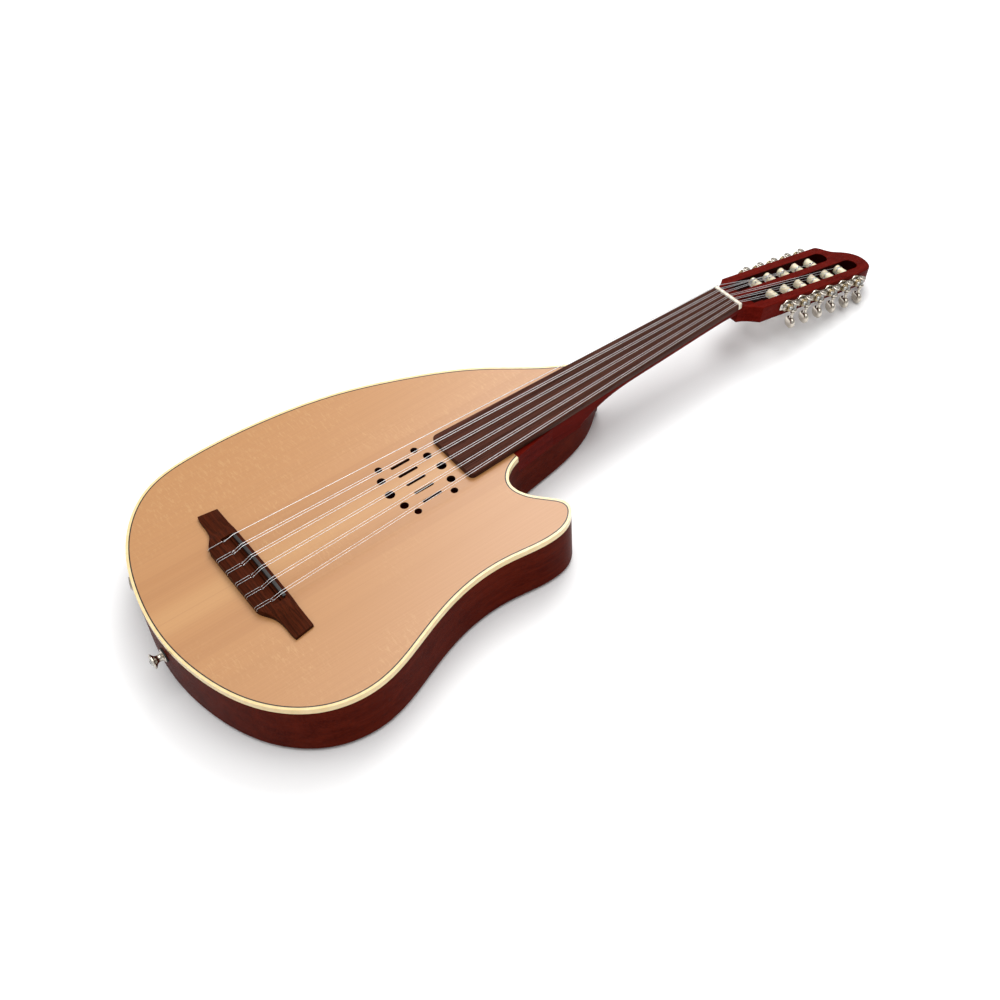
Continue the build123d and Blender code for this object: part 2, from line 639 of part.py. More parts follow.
def string_path(course, side):
    """The string's straight runs: tie block, saddle, nut and the top of its roller."""
    saddle_y, nut_y = string_offset(course, side)
    bass = course >= 4
    order = BASS_STRINGS if bass else TREBLE_STRINGS
    k = order.index((course, side))
    sign = 1 if bass else -1
    wind_y = sign * (WIND_OUTER - WIND_STEP * k)
    radius = STRING_R[course]
    top = ROLLER_DEEP - SLEEVE_R - radius - 0.4
    roller = on_head(ROLLER_FIRST + ROLLER_PITCH * k - 1.5, wind_y, top)
    return [
        Vector(BRIDGE_REAR + 1.5, saddle_y, TIE_HOLE_Z),
        Vector(TIE_FRONT + 0.6, saddle_y, TIE_HOLE_Z),
        Vector(-SADDLE_THICK / 2 - 0.1, saddle_y, string_height(course)),
        Vector(SCALE + NUT_LONG, nut_y, STRING_NUT_Z),
        roller,
    ]


for course in range(1, 7):
    with BuildPart() as strings:
        for side in (0,) if course == 6 else (-1, 1):
            stops = string_path(course, side)
            with BuildLine() as route:
                FilletPolyline(*stops, radius=[2.0, 2.0, 4.0])
            with BuildSketch(Plane(origin=stops[0], z_dir=(1, 0, 0))):
                Circle(STRING_R[course])
            sweep(path=route.line)
    finish(strings.part, f"strings_course_{course}")

# ---------------------------------------------------------------- tuners
PLATE_DEEP = (3.2, 12.6)     # plate's straight edges, below the head's face
HUMP_R = 6.8
EAR_R = 4.0
EAR_TOP = (2.4, 4.2)         # worm bearings, below the head's face
EAR_LOW = (11.4, 13.2)
BUTTON_DEEP = (21.5, 34.6)
BUTTON_HALF_WIDE = 7.2
BUTTON_THICK = 6.4


def depth_plane(along, aside, deep, turn=0.0):
    """Plane level with the head's face, Z along the worm shafts towards the face."""
    level = Plane(origin=on_head(along, aside, deep), x_dir=HEAD_ALONG, z_dir=HEAD_NORMAL)
    return level.rotated((0, 0, turn))


for side, sign in (("treble", -1), ("bass", 1)):
    count = COUNT[side]
    start = ROLLER_FIRST - 11.0
    end = ROLLER_FIRST + ROLLER_PITCH * (count - 1) + WORM_AHEAD + 6.0
    middle_deep = (PLATE_DEEP[0] + PLATE_DEEP[1]) / 2
    rollers = [ROLLER_FIRST + ROLLER_PITCH * k for k in range(count)]
    with BuildPart() as plate:
        with BuildSketch(side_plane((start + end) / 2, HEAD_HALF, middle_deep, sign)):
            RectangleRounded(end - start, PLATE_DEEP[1] - PLATE_DEEP[0], 2.5)
        extrude(amount=PLATE_THICK)
        for along in rollers:
            with BuildSketch(side_plane(along, HEAD_HALF, ROLLER_DEEP, sign)):
                Circle(HUMP_R)
            extrude(amount=PLATE_THICK)
            for shallow, low in (EAR_TOP, EAR_LOW):
                with BuildSketch(depth_plane(along + WORM_AHEAD, sign * (HEAD_HALF + GEAR_OUT), low)):
                    Circle(EAR_R)
                    with Locations((0, -sign * (GEAR_OUT - 0.4) / 2)):
                        Rectangle(5.0, GEAR_OUT - 0.4)
                extrude(amount=low - shallow)
        for along in rollers:
            with BuildSketch(side_plane(along, HEAD_HALF - 1, ROLLER_DEEP, sign)):
                Circle(SHAFT_R + RUNNING)
            extrude(amount=4, mode=Mode.SUBTRACT)
            with BuildSketch(depth_plane(along + WORM_AHEAD, sign * (HEAD_HALF + GEAR_OUT), EAR_LOW[1] + 1)):
                Circle(WORM_SHAFT_R + RUNNING)
            extrude(amount=EAR_LOW[1] - EAR_TOP[0] + 2, mode=Mode.SUBTRACT)
        for along in rollers[::2]:
            with BuildSketch(side_plane(along - SCREW_BACK, HEAD_HALF - 1, ROLLER_DEEP, sign)):
                Circle(SCREW_R)
            extrude(amount=4, mode=Mode.SUBTRACT)
    finish(plate.part, f"tuner_plate_{side}")

    with BuildPart() as screws:
        for along in rollers[::2]:
            with BuildSketch(side_plane(along - SCREW_BACK, HEAD_HALF - SCREW_DEEP, ROLLER_DEEP, sign)):
                Circle(SCREW_R)
            extrude(amount=SCREW_DEEP + PLATE_THICK)
            with BuildSketch(side_plane(along - SCREW_BACK, HEAD_HALF + PLATE_THICK, ROLLER_DEEP, sign)):
                Circle(2.1)
            extrude(amount=1.1, taper=25)
    finish(screws.part, f"tuner_screws_{side}")

    for k, along in enumerate(rollers):
        letter = side[0]
        axis = side_plane(along, 0, ROLLER_DEEP, sign)
        with BuildPart() as roller:
            for radius, near, far in (
                (PILOT_R, 2.5, SLOT_IN + 1), (SLEEVE_R, SLOT_IN + 0.4, SLOT_OUT - 0.4),
                (SHAFT_R, SLOT_OUT - 1, HEAD_HALF + GEAR_OUT - 1.3),
            ):
                with BuildSketch(axis.offset(near)):
                    Circle(radius)
                extrude(amount=far - near)
            with BuildSketch(axis.offset(HEAD_HALF + GEAR_OUT - 1.4)):
                Circle(GEAR_TIP_R - 1.0)
                with PolarLocations(0, GEAR_TEETH):
                    with Locations((GEAR_TIP_R - 0.8, 0)):
                        Rectangle(1.6, 0.75)
            extrude(amount=2.8)
            with BuildSketch(axis.offset(HEAD_HALF + GEAR_OUT + 1.4)):
                Circle(2.2)
            extrude(amount=1.2, taper=20)
        finish(roller.part, f"roller_{letter}{k + 1}")

        worm_y = sign * (HEAD_HALF + GEAR_OUT)
        with BuildPart() as button:
            with BuildSketch(depth_plane(along + WORM_AHEAD, worm_y, BUTTON_DEEP[0] + 2)):
                Circle(WORM_SHAFT_R)
            extrude(amount=BUTTON_DEEP[0] + 2 - EAR_TOP[0] + 0.8)
            worm_low = EAR_LOW[0] - 0.3
            turns = 5
            land = (worm_low - EAR_TOP[1] - 0.3) / turns
            for turn in range(turns):
                with BuildSketch(depth_plane(along + WORM_AHEAD, worm_y, worm_low - turn * land)):
                    Circle(WORM_R)
                extrude(amount=land * 0.55)
            with BuildSketch(depth_plane(along + WORM_AHEAD, worm_y, worm_low)):
                Circle(WORM_R - 0.6)
            extrude(amount=worm_low - EAR_TOP[1] - 0.3)
            with BuildSketch(depth_plane(along + WORM_AHEAD, worm_y, EAR_LOW[1] + 2.4)):
                Circle(2.3)
            extrude(amount=2.1)
            middle = (BUTTON_DEEP[0] + BUTTON_DEEP[1]) / 2
            turned = depth_plane(along + WORM_AHEAD, worm_y, middle, -sign * BUTTON_TURN)
            paddle = Plane(origin=turned.origin, x_dir=turned.x_dir, z_dir=turned.y_dir)
            with BuildSketch(paddle.offset(-BUTTON_THICK / 2)):
                Ellipse(BUTTON_HALF_WIDE, (BUTTON_DEEP[1] - BUTTON_DEEP[0]) / 2)
            extrude(amount=BUTTON_THICK)
        finish(button.part, f"button_{letter}{k + 1}")

# ---------------------------------------------------------------- strap buttons
STRAP_LONG = 13.0
STRAP_PROFILE = [
    (STRAP_SCREW_R, 0), (6.5, 0), (6.5, 1.5), (3.6, 3.2), (3.4, 8.0), (7.4, 11.2), (7.4, STRAP_LONG),
    (STRAP_SCREW_R, STRAP_LONG),
]


def strap_button(plane, name):
    """A turned strap button and the screw that holds it."""
    rim = Plane(origin=plane.origin, x_dir=plane.x_dir, z_dir=-plane.y_dir)
    with BuildPart() as knob:
        with BuildSketch(rim):
            Polygon(*STRAP_PROFILE, align=None)
        revolve(axis=Axis(plane.origin, plane.z_dir))
    finish(knob.part, f"strap_button_{name}")
    with BuildPart() as screw:
        with BuildSketch(plane.offset(-STRAP_SCREW_DEEP)):
            Circle(STRAP_SCREW_R)
        extrude(amount=STRAP_SCREW_DEEP + STRAP_LONG)
        with BuildSketch(plane.offset(STRAP_LONG)):
            Circle(3.8)
        extrude(amount=1.6, taper=30)
    finish(screw.part, f"strap_screw_{name}")


strap_button(tail_plane, "tail")
strap_button(heel_plane, "heel")

# ---------------------------------------------------------------- preamp, battery, jack, cover
SLIDER_SLOT_WIDE = 2.4
SLIDER_STEM = (1.6, 2.6)
with BuildPart() as preamp_panel:
    with BuildSketch(panel_plane.offset(-PANEL_THICK)):
        RectangleRounded(PANEL_WIDE, PANEL_HIGH, 3)
        with GridLocations(SLIDER_PITCH, 0, len(SLIDERS), 1):
            SlotOverall(SLIDER_TRAVEL + 4.0, SLIDER_SLOT_WIDE, rotation=90, mode=Mode.SUBTRACT)
    extrude(amount=PANEL_THICK)
finish(preamp_panel.part, "preamp_panel")

for number, name in enumerate(SLIDERS):
    across = SLIDER_PITCH * (number - (len(SLIDERS) - 1) / 2)
    middle = panel_plane.from_local_coords((across, 0, 0))
    spot = Plane(origin=middle, x_dir=panel_plane.x_dir, z_dir=panel_plane.z_dir)
    with BuildPart() as slider:
        with BuildSketch(spot.offset(-PANEL_THICK - 2.5)):
            Rectangle(*SLIDER_STEM)
        extrude(amount=PANEL_THICK + 2.5 + 1.0)
        with BuildSketch(spot.offset(0.4)):
            RectangleRounded(7.0, 4.4, 0.8)
        extrude(amount=4.2, taper=6)
    finish(slider.part, f"slider_{name}")

with BuildPart() as preamp_board:
    with BuildSketch(panel_plane.offset(-PANEL_THICK - 12)):
        Rectangle(PANEL_WIDE - 8, PANEL_HIGH - 8)
    extrude(amount=1.6)
    with BuildSketch(panel_plane.offset(-PANEL_THICK - 10.4)):
        with GridLocations(SLIDER_PITCH, 0, len(SLIDERS), 1):
            Rectangle(8.0, SLIDER_TRAVEL + 6)
    extrude(amount=6.5)
finish(preamp_board.part, "preamp_board")

BATTERY = (48.5, 26.5, 17.0)
with BuildPart() as battery:
    with BuildSketch(cover_plane.offset(-COVER_THICK)):
        RectangleRounded(BATTERY[0], BATTERY[1], 2)
    extrude(amount=-BATTERY[2])
finish(battery.part, "battery")

with BuildPart() as back_cover:
    with BuildSketch(cover_plane.offset(-COVER_THICK)):
        RectangleRounded(COVER_LONG, COVER_WIDE, 6)
        with COVER_SCREWS:
            Circle(COVER_SCREW_R, mode=Mode.SUBTRACT)
    extrude(amount=COVER_THICK)
finish(back_cover.part, "back_cover")

with BuildPart() as back_cover_screws:
    with BuildSketch(cover_plane.offset(-COVER_THICK - 9)):
        with COVER_SCREWS:
            Circle(COVER_SCREW_R)
    extrude(amount=9 + COVER_THICK)
finish(back_cover_screws.part, "back_cover_screws")

with BuildPart() as output_jack:
    with BuildSketch(jack_plane.offset(-26)):
        Circle(JACK_BARREL_R)
    extrude(amount=30)
    with BuildSketch(jack_plane.offset(1.2)):
        Circle(9.0)
    extrude(amount=1.5)
    with BuildSketch(jack_plane.offset(2.7)):
        RegularPolygon(7.0, 6)
    extrude(amount=2.6)
    with BuildSketch(jack_plane.offset(5.3)):
        Circle(JACK_BORE_R)
    extrude(amount=-JACK_BORE_LONG, mode=Mode.SUBTRACT)
finish(output_jack.part, "output_jack")
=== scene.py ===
"""The looks of a fretless oud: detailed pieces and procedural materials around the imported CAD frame.

Metres, in the same frame as the CAD: X along the neck towards the head, Y towards the bass side,
Z out of the soundboard. Lengths of the instrument are written in millimetres and go through MM.
"""

import json
from math import atan2, cos, pi, radians, sin

import bmesh
import bpy
from mathutils import Matrix, Vector

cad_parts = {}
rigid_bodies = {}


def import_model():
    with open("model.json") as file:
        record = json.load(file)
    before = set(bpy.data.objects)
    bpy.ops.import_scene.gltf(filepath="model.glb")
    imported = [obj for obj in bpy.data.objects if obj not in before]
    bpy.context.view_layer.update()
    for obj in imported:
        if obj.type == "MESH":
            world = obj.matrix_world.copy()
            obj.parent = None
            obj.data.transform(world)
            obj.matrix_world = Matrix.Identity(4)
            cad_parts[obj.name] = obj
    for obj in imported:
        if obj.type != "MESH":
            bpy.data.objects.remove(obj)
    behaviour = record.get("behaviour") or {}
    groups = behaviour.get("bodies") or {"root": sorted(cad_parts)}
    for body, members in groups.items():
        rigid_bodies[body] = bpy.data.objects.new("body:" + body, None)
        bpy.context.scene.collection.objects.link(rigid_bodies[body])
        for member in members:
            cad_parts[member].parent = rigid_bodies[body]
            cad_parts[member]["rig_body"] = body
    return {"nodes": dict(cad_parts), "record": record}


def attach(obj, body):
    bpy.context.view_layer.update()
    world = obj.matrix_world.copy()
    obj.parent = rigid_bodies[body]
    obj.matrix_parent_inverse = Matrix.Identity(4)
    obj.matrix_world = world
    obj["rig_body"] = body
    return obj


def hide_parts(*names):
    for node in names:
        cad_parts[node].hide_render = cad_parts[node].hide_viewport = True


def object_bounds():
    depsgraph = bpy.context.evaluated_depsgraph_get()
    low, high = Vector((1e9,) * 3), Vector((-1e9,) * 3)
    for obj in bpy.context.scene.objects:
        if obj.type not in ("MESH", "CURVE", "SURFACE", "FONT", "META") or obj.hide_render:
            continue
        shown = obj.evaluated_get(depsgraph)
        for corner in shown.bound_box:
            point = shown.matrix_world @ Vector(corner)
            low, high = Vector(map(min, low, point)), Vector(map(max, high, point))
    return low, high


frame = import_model()
cad_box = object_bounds()

MM = 0.001
scene = bpy.context.scene

# ---------------------------------------------------------------- places and sizes shared with the CAD
TOP = 63.0                   # soundboard
SCALE = 575.0                # saddle to nut
TILT = radians(12.0)         # head, back from the neck
ALONG = Vector((cos(TILT), 0, -sin(TILT)))
NORMAL = Vector((sin(TILT), 0, cos(TILT)))
HEAD_AT = Vector((580.0, 0, 69.0))
HEAD_HALF = 32.0
SLOT_IN = 4.5                # head slots, from the centreline
SLOT_OUT = 21.5
SLOT_START = 30.0
SLOT_END_BASS = 165.0
SLOT_END_TREBLE = 187.0
HEAD_THICK = 18.5
ROLLER_FIRST = 57.2
ROLLER_PITCH = 22.0
ROLLER_DEEP = 7.5
GEAR_OUT = 5.5
WORM_AHEAD = 7.4
BUTTON_TURN = 78.0           # how each button stands at rest, degrees
SLEEVE_R = 4.7
WIND_OUTER = 17.2            # a winding's inner edge on the first roller, and how it steps in
WIND_STEP = 1.6
NUT_LONG = 4.5
NUT_TOP = TOP + 12.15
STRING_NUT_Z = TOP + 12.1
STRING_HIGH = 10.7           # middle of the strings over the soundboard, at the saddle
SADDLE_CROWN = 0.3
COURSE_PITCH = 17.5
COURSE_PITCH_NUT = 7.0
PAIR_HALF = 1.5
PAIR_HALF_NUT = 1.1
STRING_SHIFT = 0.8
STRING_R = {6: 0.36, 5: 0.30, 4: 0.27, 3: 0.25, 2: 0.23, 1: 0.21}
TREBLE = [(1, -1), (1, 1), (2, -1), (2, 1), (3, -1), (3, 1)]
BASS = [(6, 0), (5, 1), (5, -1), (4, 1), (4, -1)]

# ---------------------------------------------------------------- camera
CAMERA_AT = Vector((-0.2556, -0.7955, 1.0221))
CAMERA_TURN = (2.287, -0.787, 0.234)     # rotation vector to the camera's own axes, y down and z ahead
FOCAL_PIXELS = 1371.5
IMAGE = 1000.0
CENTRE = (502.8, 497.3)

turn = Vector(CAMERA_TURN)
to_camera = Matrix.Rotation(turn.length, 3, turn.normalized())
to_blender = Matrix(((1, 0, 0), (0, -1, 0), (0, 0, -1)))
camera_data = bpy.data.cameras.new("camera")
camera_data.sensor_width = 36.0
camera_data.lens = FOCAL_PIXELS / IMAGE * camera_data.sensor_width
camera_data.shift_x = (IMAGE / 2 - CENTRE[0]) / IMAGE
camera_data.shift_y = (CENTRE[1] - IMAGE / 2) / IMAGE
camera_data.clip_start = 0.05
camera = bpy.data.objects.new("camera", camera_data)
camera.matrix_world = Matrix.Translation(CAMERA_AT) @ (to_blender @ to_camera).inverted().to_4x4()
scene.collection.objects.link(camera)
scene.camera = camera


# ---------------------------------------------------------------- node helpers
class Shade:
    """One procedural material: short calls that add nodes and link them."""

    def __init__(self, name):
        self.material = bpy.data.materials.new(name)
        self.material.use_nodes = True
        self.tree = self.material.node_tree
        self.shader = self.tree.nodes["Principled BSDF"]
        self.place = self.add("ShaderNodeTexCoord").outputs["Object"]

    def add(self, kind, inputs=None, **settings):
        node = self.tree.nodes.new(kind)
        for key, value in settings.items():
            setattr(node, key, value)
        for key, value in (inputs or {}).items():
            self.put(node.inputs[key], value)
        return node

    def put(self, socket, value):
        if isinstance(value, bpy.types.NodeSocket):
            self.tree.links.new(value, socket)
        else:
            socket.default_value = value

    def stretched(self, sizes, shift=(0, 0, 0)):
        """Object place divided by a grain size per axis, in millimetres."""
        scale = [1 / (size * MM) for size in sizes]
        inputs = {"Vector": self.place, "Scale": scale, "Location": shift}
        return self.add("ShaderNodeMapping", inputs).outputs["Vector"]

    def noise(self, sizes, detail=3.0, rough=0.55, twist=0.0, shift=(0, 0, 0)):
        vector = self.stretched(sizes, shift)
        inputs = {"Vector": vector, "Scale": 1.0, "Detail": detail, "Roughness": rough, "Distortion": twist}
        return self.add("ShaderNodeTexNoise", inputs).outputs["Fac"]

    def ramp(self, value, stops):
        """Colours or greys along a value, as (place, colour) pairs."""
        node = self.add("ShaderNodeValToRGB", {"Fac": value})
        line = node.color_ramp
        while len(line.elements) < len(stops):
            line.elements.new(0.5)
        for element, (at, colour) in zip(line.elements, stops):
            element.position = at
            element.color = (*colour, 1) if isinstance(colour, tuple) else (colour, colour, colour, 1)
        return node.outputs["Color"]

    def mix(self, share, a, b, how="MIX"):
        node = self.add("ShaderNodeMix", data_type="RGBA", blend_type=how)
        self.put(node.inputs[0], share)
        for socket, value in ((node.inputs[6], a), (node.inputs[7], b)):
            self.put(socket, (*value, 1) if isinstance(value, tuple) else value)
        return node.outputs[2]

    def maths(self, how, a, b=0.5, clamp=False):
        node = self.add("ShaderNodeMath", operation=how, use_clamp=clamp)
        self.put(node.inputs[0], a)
        self.put(node.inputs[1], b)
        return node.outputs[0]

    def axes(self):
        split = self.add("ShaderNodeSeparateXYZ", {"Vector": self.place})
        return split.outputs

    def finish(self, colour, rough, bumps=(), **steady):
        """Link colour and roughness. Bumps are (height, depth in mm) pairs; steady values go on sockets."""
        self.put(self.shader.inputs["Base Color"], colour)
        self.put(self.shader.inputs["Roughness"], rough)
        normal = None
        for height, depth in bumps:
            inputs = {"Height": height, "Distance": depth * MM, "Strength": 1.0}
            if normal is not None:
                inputs["Normal"] = normal
            normal = self.add("ShaderNodeBump", inputs).outputs["Normal"]
        if normal is not None:
            self.put(self.shader.inputs["Normal"], normal)
        for key, value in steady.items():
            self.shader.inputs[key.replace("_", " ")].default_value = value
        return self.material


def spruce():
    s = Shade("spruce_top")
    lines = s.noise((900, 1.15, 40), detail=2.0, rough=0.5, twist=0.25)
    rings = s.ramp(lines, [(0.36, 0.0), (0.5, 0.45), (0.62, 1.0)])
    broad = s.noise((700, 26, 60), detail=2.0, shift=(3, 1, 0))
    silk = s.noise((2.2, 9.0, 30), detail=3.0, rough=0.6, twist=0.6, shift=(0, 5, 2))
    patch = s.noise((130, 90, 100), detail=1.0, shift=(8, 2, 1))
    tone = s.mix(broad, (0.455, 0.212, 0.070), (0.485, 0.230, 0.082))
    tone = s.mix(s.maths("MULTIPLY", rings, 0.22), tone, (0.37, 0.157, 0.047))
    bright = s.ramp(silk, [(0.52, 0.0), (0.72, 1.0)])
    flecks = s.maths("MULTIPLY", bright, s.ramp(patch, [(0.45, 0.0), (0.6, 0.35)]))
    tone = s.mix(flecks, tone, (0.64, 0.385, 0.165))
    side = s.maths("ABSOLUTE", s.axes()["Y"])
    streak = s.ramp(s.maths("MULTIPLY", side, 1 / 0.020), [(0.0, 0.42), (0.55, 0.30), (1.0, 0.0)])
    tone = s.mix(streak, tone, (0.60, 0.330, 0.128))
    stripes = [(0.42, 0.0), (0.55, 0.35), (0.72, 0.12), (0.83, 0.38), (1.0, 0.0)]
    bands = s.ramp(s.maths("MULTIPLY", side, 1 / 0.06), stripes)
    tone = s.mix(bands, tone, (0.39, 0.165, 0.050))
    seam = s.ramp(s.maths("MULTIPLY", side, 1 / 0.0012), [(0.0, 0.35), (1.0, 0.0)])
    tone = s.mix(seam, tone, (0.37, 0.16, 0.055))
    # the walls of the sound holes are stained dark
    facing = s.add("ShaderNodeNewGeometry").outputs["True Normal"]
    upward = s.add("ShaderNodeSeparateXYZ", {"Vector": facing}).outputs["Z"]
    tone = s.mix(s.ramp(upward, [(0.45, 0.0), (0.55, 1.0)]), (0.030, 0.006, 0.003), tone)
    rough = s.ramp(lines, [(0.3, 0.34), (0.7, 0.42)])
    return s.finish(
        tone, rough, [(lines, 0.03), (silk, 0.01)], Specular_IOR_Level=0.5, Coat_Weight=0.6,
        Coat_Roughness=0.34,
    )


WARM = (1.0, 0.35, 0.2)      # a wood's shine takes the colour of its finish


def wood(
    name, dark, light, red, along="X", rough=(0.30, 0.42), gloss=0.15, pores=0.6, streak=14.0, fine=0.55,
    painted_shade=None,
):
    """A reddish hardwood with long streaks, fine lines and open pores, its grain along one axis."""
    s = Shade(name)

    def grain(long, across):
        return (long, across, across) if along == "X" else (across, long, across)

    broad = s.noise(grain(260, streak), detail=3.0, twist=0.5)
    lines = s.noise(grain(130, fine * 2), detail=4.0, rough=0.65, shift=(2, 3, 1))
    pits = s.noise(grain(7.0, fine), detail=1.0, rough=0.4, shift=(5, 1, 7))
    open_pores = s.ramp(pits, [(0.30, 1.0), (0.40, 0.0)])
    tone = s.mix(s.ramp(broad, [(0.32, 0.0), (0.68, 1.0)]), dark, light)
    tone = s.mix(s.maths("MULTIPLY", s.ramp(lines, [(0.42, 0.0), (0.66, 1.0)]), 0.55), tone, red)
    # near black: the colour of the open pores, and of the painted shade where a shade mask is given
    black = tuple(c * 0.25 for c in dark)
    tone = s.mix(s.maths("MULTIPLY", open_pores, pores), tone, black)
    # painted shade: the tone goes near black where the mask is 1
    if painted_shade:
        tone = s.mix(painted_shade(s), tone, black)
    sheen = s.ramp(lines, [(0.3, rough[0]), (0.7, rough[1])])
    bumps = [(s.maths("SUBTRACT", lines, s.maths("MULTIPLY", open_pores, 0.8)), 0.06)]
    return s.finish(tone, sheen, bumps, Specular_IOR_Level=gloss, Specular_Tint=(*WARM, 1.0))


def plastic(name, base, other, rough=0.3, grain=0.35, depth=0.01, coat=0.0, sub=0.0):
    """A cast or cut plastic or bone: slow cloudy colour and a fine surface."""
    s = Shade(name)
    cloud = s.noise((9, 7, 8), detail=3.0, rough=0.6)
    fine = s.noise((grain * 3, grain, grain), detail=2.0, shift=(4, 2, 9))
    tone = s.mix(s.ramp(cloud, [(0.35, 0.0), (0.65, 1.0)]), base, other)
    gloss = s.ramp(fine, [(0.3, rough * 0.85), (0.7, rough * 1.2)])
    steady = {"Coat_Weight": coat, "Coat_Roughness": 0.12, "Subsurface_Weight": sub, "Subsurface_Scale": 0.002}
    return s.finish(tone, gloss, [(fine, depth)], **steady)


def metal(name, base, worn, rough=0.18, brushed=(0.4, 0.4, 0.4), depth=0.004):
    """Plated or drawn metal, slightly cloudy, with fine scratches."""
    s = Shade(name)
    cloud = s.noise((6, 6, 6), detail=2.0, rough=0.6)
    scratch = s.noise(brushed, detail=3.0, rough=0.7, shift=(1, 8, 3))
    tone = s.mix(s.ramp(cloud, [(0.35, 0.0), (0.7, 1.0)]), base, worn)
    gloss = s.ramp(scratch, [(0.25, rough * 0.7), (0.75, rough * 1.6)])
    return s.finish(tone, gloss, [(scratch, depth)], Metallic=1.0)


def slot_shade_mask(s):
    """1 on the walls of the head's two slots, where shade is painted, and 0 elsewhere."""
    margin = 0.2
    axes = s.axes()
    ahead = s.maths("SUBTRACT", axes["X"], HEAD_AT.x * MM)
    fall = s.maths("SUBTRACT", axes["Z"], HEAD_AT.z * MM)
    along = s.maths("SUBTRACT", s.maths("MULTIPLY", ahead, cos(TILT)), s.maths("MULTIPLY", fall, sin(TILT)))
    rise = s.maths("ADD", s.maths("MULTIPLY", ahead, sin(TILT)), s.maths("MULTIPLY", fall, cos(TILT)))
    aside = s.maths("ABSOLUTE", axes["Y"])
    treble = s.maths("LESS_THAN", axes["Y"], 0.0)
    longer = s.maths("MULTIPLY", treble, (SLOT_END_TREBLE - SLOT_END_BASS) * MM)
    tests = [
        s.maths("GREATER_THAN", aside, (SLOT_IN - margin) * MM),
        s.maths("LESS_THAN", aside, (SLOT_OUT + margin) * MM),
        s.maths("GREATER_THAN", along, (SLOT_START - 5 * margin) * MM),
        s.maths("LESS_THAN", along, s.maths("ADD", longer, (SLOT_END_BASS + 0.3) * MM)),
        s.maths("LESS_THAN", rise, -3 * margin * MM),
        s.maths("GREATER_THAN", rise, -(HEAD_THICK - 0.3) * MM),
    ]
    both = tests[0]
    for test in tests[1:]:
        both = s.maths("MULTIPLY", both, test)
    return both


SPRUCE = spruce()
SIDES = wood(
    "mahogany_body", (0.046, 0.0024, 0.0009), (0.090, 0.0080, 0.0028), (0.118, 0.0150, 0.0055),
    streak=11.0, gloss=0.012,
)
# the neck's material paints shade on the walls of the head's slots
NECK = wood(
    "mahogany_neck", (0.062, 0.0020, 0.0011), (0.114, 0.0055, 0.0030), (0.142, 0.0095, 0.0058),
    streak=7.0, gloss=0.015, painted_shade=slot_shade_mask,
)
BOARD = wood(
    "rosewood_board", (0.016, 0.0055, 0.0038), (0.070, 0.024, 0.016), (0.120, 0.046, 0.030),
    rough=(0.34, 0.5), streak=3.2, fine=0.4, gloss=0.06,
)
BRIDGE = wood(
    "rosewood_bridge", (0.015, 0.0035, 0.0015), (0.060, 0.010, 0.0030), (0.085, 0.018, 0.0060),
    along="Y", rough=(0.34, 0.5), streak=2.6, fine=0.4, gloss=0.06,
)
BRACE = wood(
    "spruce_brace", (0.55, 0.33, 0.15), (0.68, 0.44, 0.22), (0.6, 0.36, 0.17),
    along="Y", rough=(0.6, 0.7), pores=0.1,
)
CREAM = plastic(
    "binding_cream", (0.80, 0.60, 0.29), (0.86, 0.67, 0.36), rough=0.24, grain=0.5, coat=0.3, sub=0.08,
)
BLACK_LINE = plastic("purfling_black", (0.020, 0.014, 0.010), (0.035, 0.022, 0.015), rough=0.35)
NUT = plastic("nut_bone", (0.84, 0.78, 0.66), (0.78, 0.70, 0.56), rough=0.28, coat=0.2, sub=0.1)
SADDLE = plastic("saddle_black", (0.008, 0.006, 0.005), (0.016, 0.012, 0.010), rough=0.55)
NYLON = plastic("sleeve_nylon", (0.78, 0.70, 0.50), (0.70, 0.60, 0.42), rough=0.34, sub=0.15)
BLACK = plastic(
    "black_moulded", (0.016, 0.016, 0.017), (0.024, 0.024, 0.025), rough=0.42, grain=0.25, depth=0.03,
)
GREEN = plastic("circuit_board", (0.01, 0.07, 0.03), (0.015, 0.10, 0.045), rough=0.35)
CASE = plastic("battery_case", (0.03, 0.03, 0.035), (0.05, 0.05, 0.055), rough=0.3)
NICKEL = metal("nickel", (0.62, 0.57, 0.50), (0.52, 0.47, 0.40), rough=0.16)
STEEL = metal("steel", (0.55, 0.54, 0.52), (0.45, 0.44, 0.42), rough=0.28)
STRING = metal(
    "string_metal", (0.80, 0.80, 0.80), (0.66, 0.66, 0.67), rough=0.26, brushed=(0.25, 3, 3), depth=0.02,
)
PRINT = plastic("printed_marks", (0.72, 0.72, 0.70), (0.62, 0.62, 0.60), rough=0.5)
COPPER = metal("pickup_strip", (0.72, 0.45, 0.24), (0.60, 0.36, 0.18), rough=0.35)

CAD_LOOKS = {
    "chambered_body": SIDES, "neck": NECK, "soundboard": SPRUCE, "soundboard_braces": BRACE, "binding": CREAM,
    "purfling": BLACK_LINE, "bridge": BRIDGE, "fingerboard": BOARD, "saddle": SADDLE, "nut": NUT,
    "truss_rod": STEEL, "undersaddle_pickup": COPPER, "preamp_panel": BLACK, "preamp_board": GREEN,
    "battery": CASE, "back_cover": BLACK, "back_cover_screws": STEEL, "output_jack": NICKEL,
}
CAD_STARTS = {
    "strings": STRING, "roller": NYLON, "button": NICKEL, "tuner_plate": NICKEL, "tuner_screws": STEEL,
    "strap_button": NICKEL, "strap_screw": STEEL, "slider": BLACK,
}
for node_name, node in frame["nodes"].items():
    look = CAD_LOOKS.get(node_name)
    for start, starting_look in CAD_STARTS.items():
        if node_name.startswith(start):
            look = starting_look
    node.data.materials.clear()
    node.data.materials.append(look)

# ---------------------------------------------------------------- mesh helpers
def place_at(origin, z_dir, x_dir):
    """Matrix of a place in the frame: origin in millimetres, and shapes given in millimetres."""
    z = Vector(z_dir).normalized()
    x = (Vector(x_dir) - z * Vector(x_dir).dot(z)).normalized()
    y = z.cross(x)
    turned = Matrix((x, y, z)).transposed().to_4x4()
    return Matrix.Scale(MM, 4) @ Matrix.Translation(Vector(origin)) @ turned


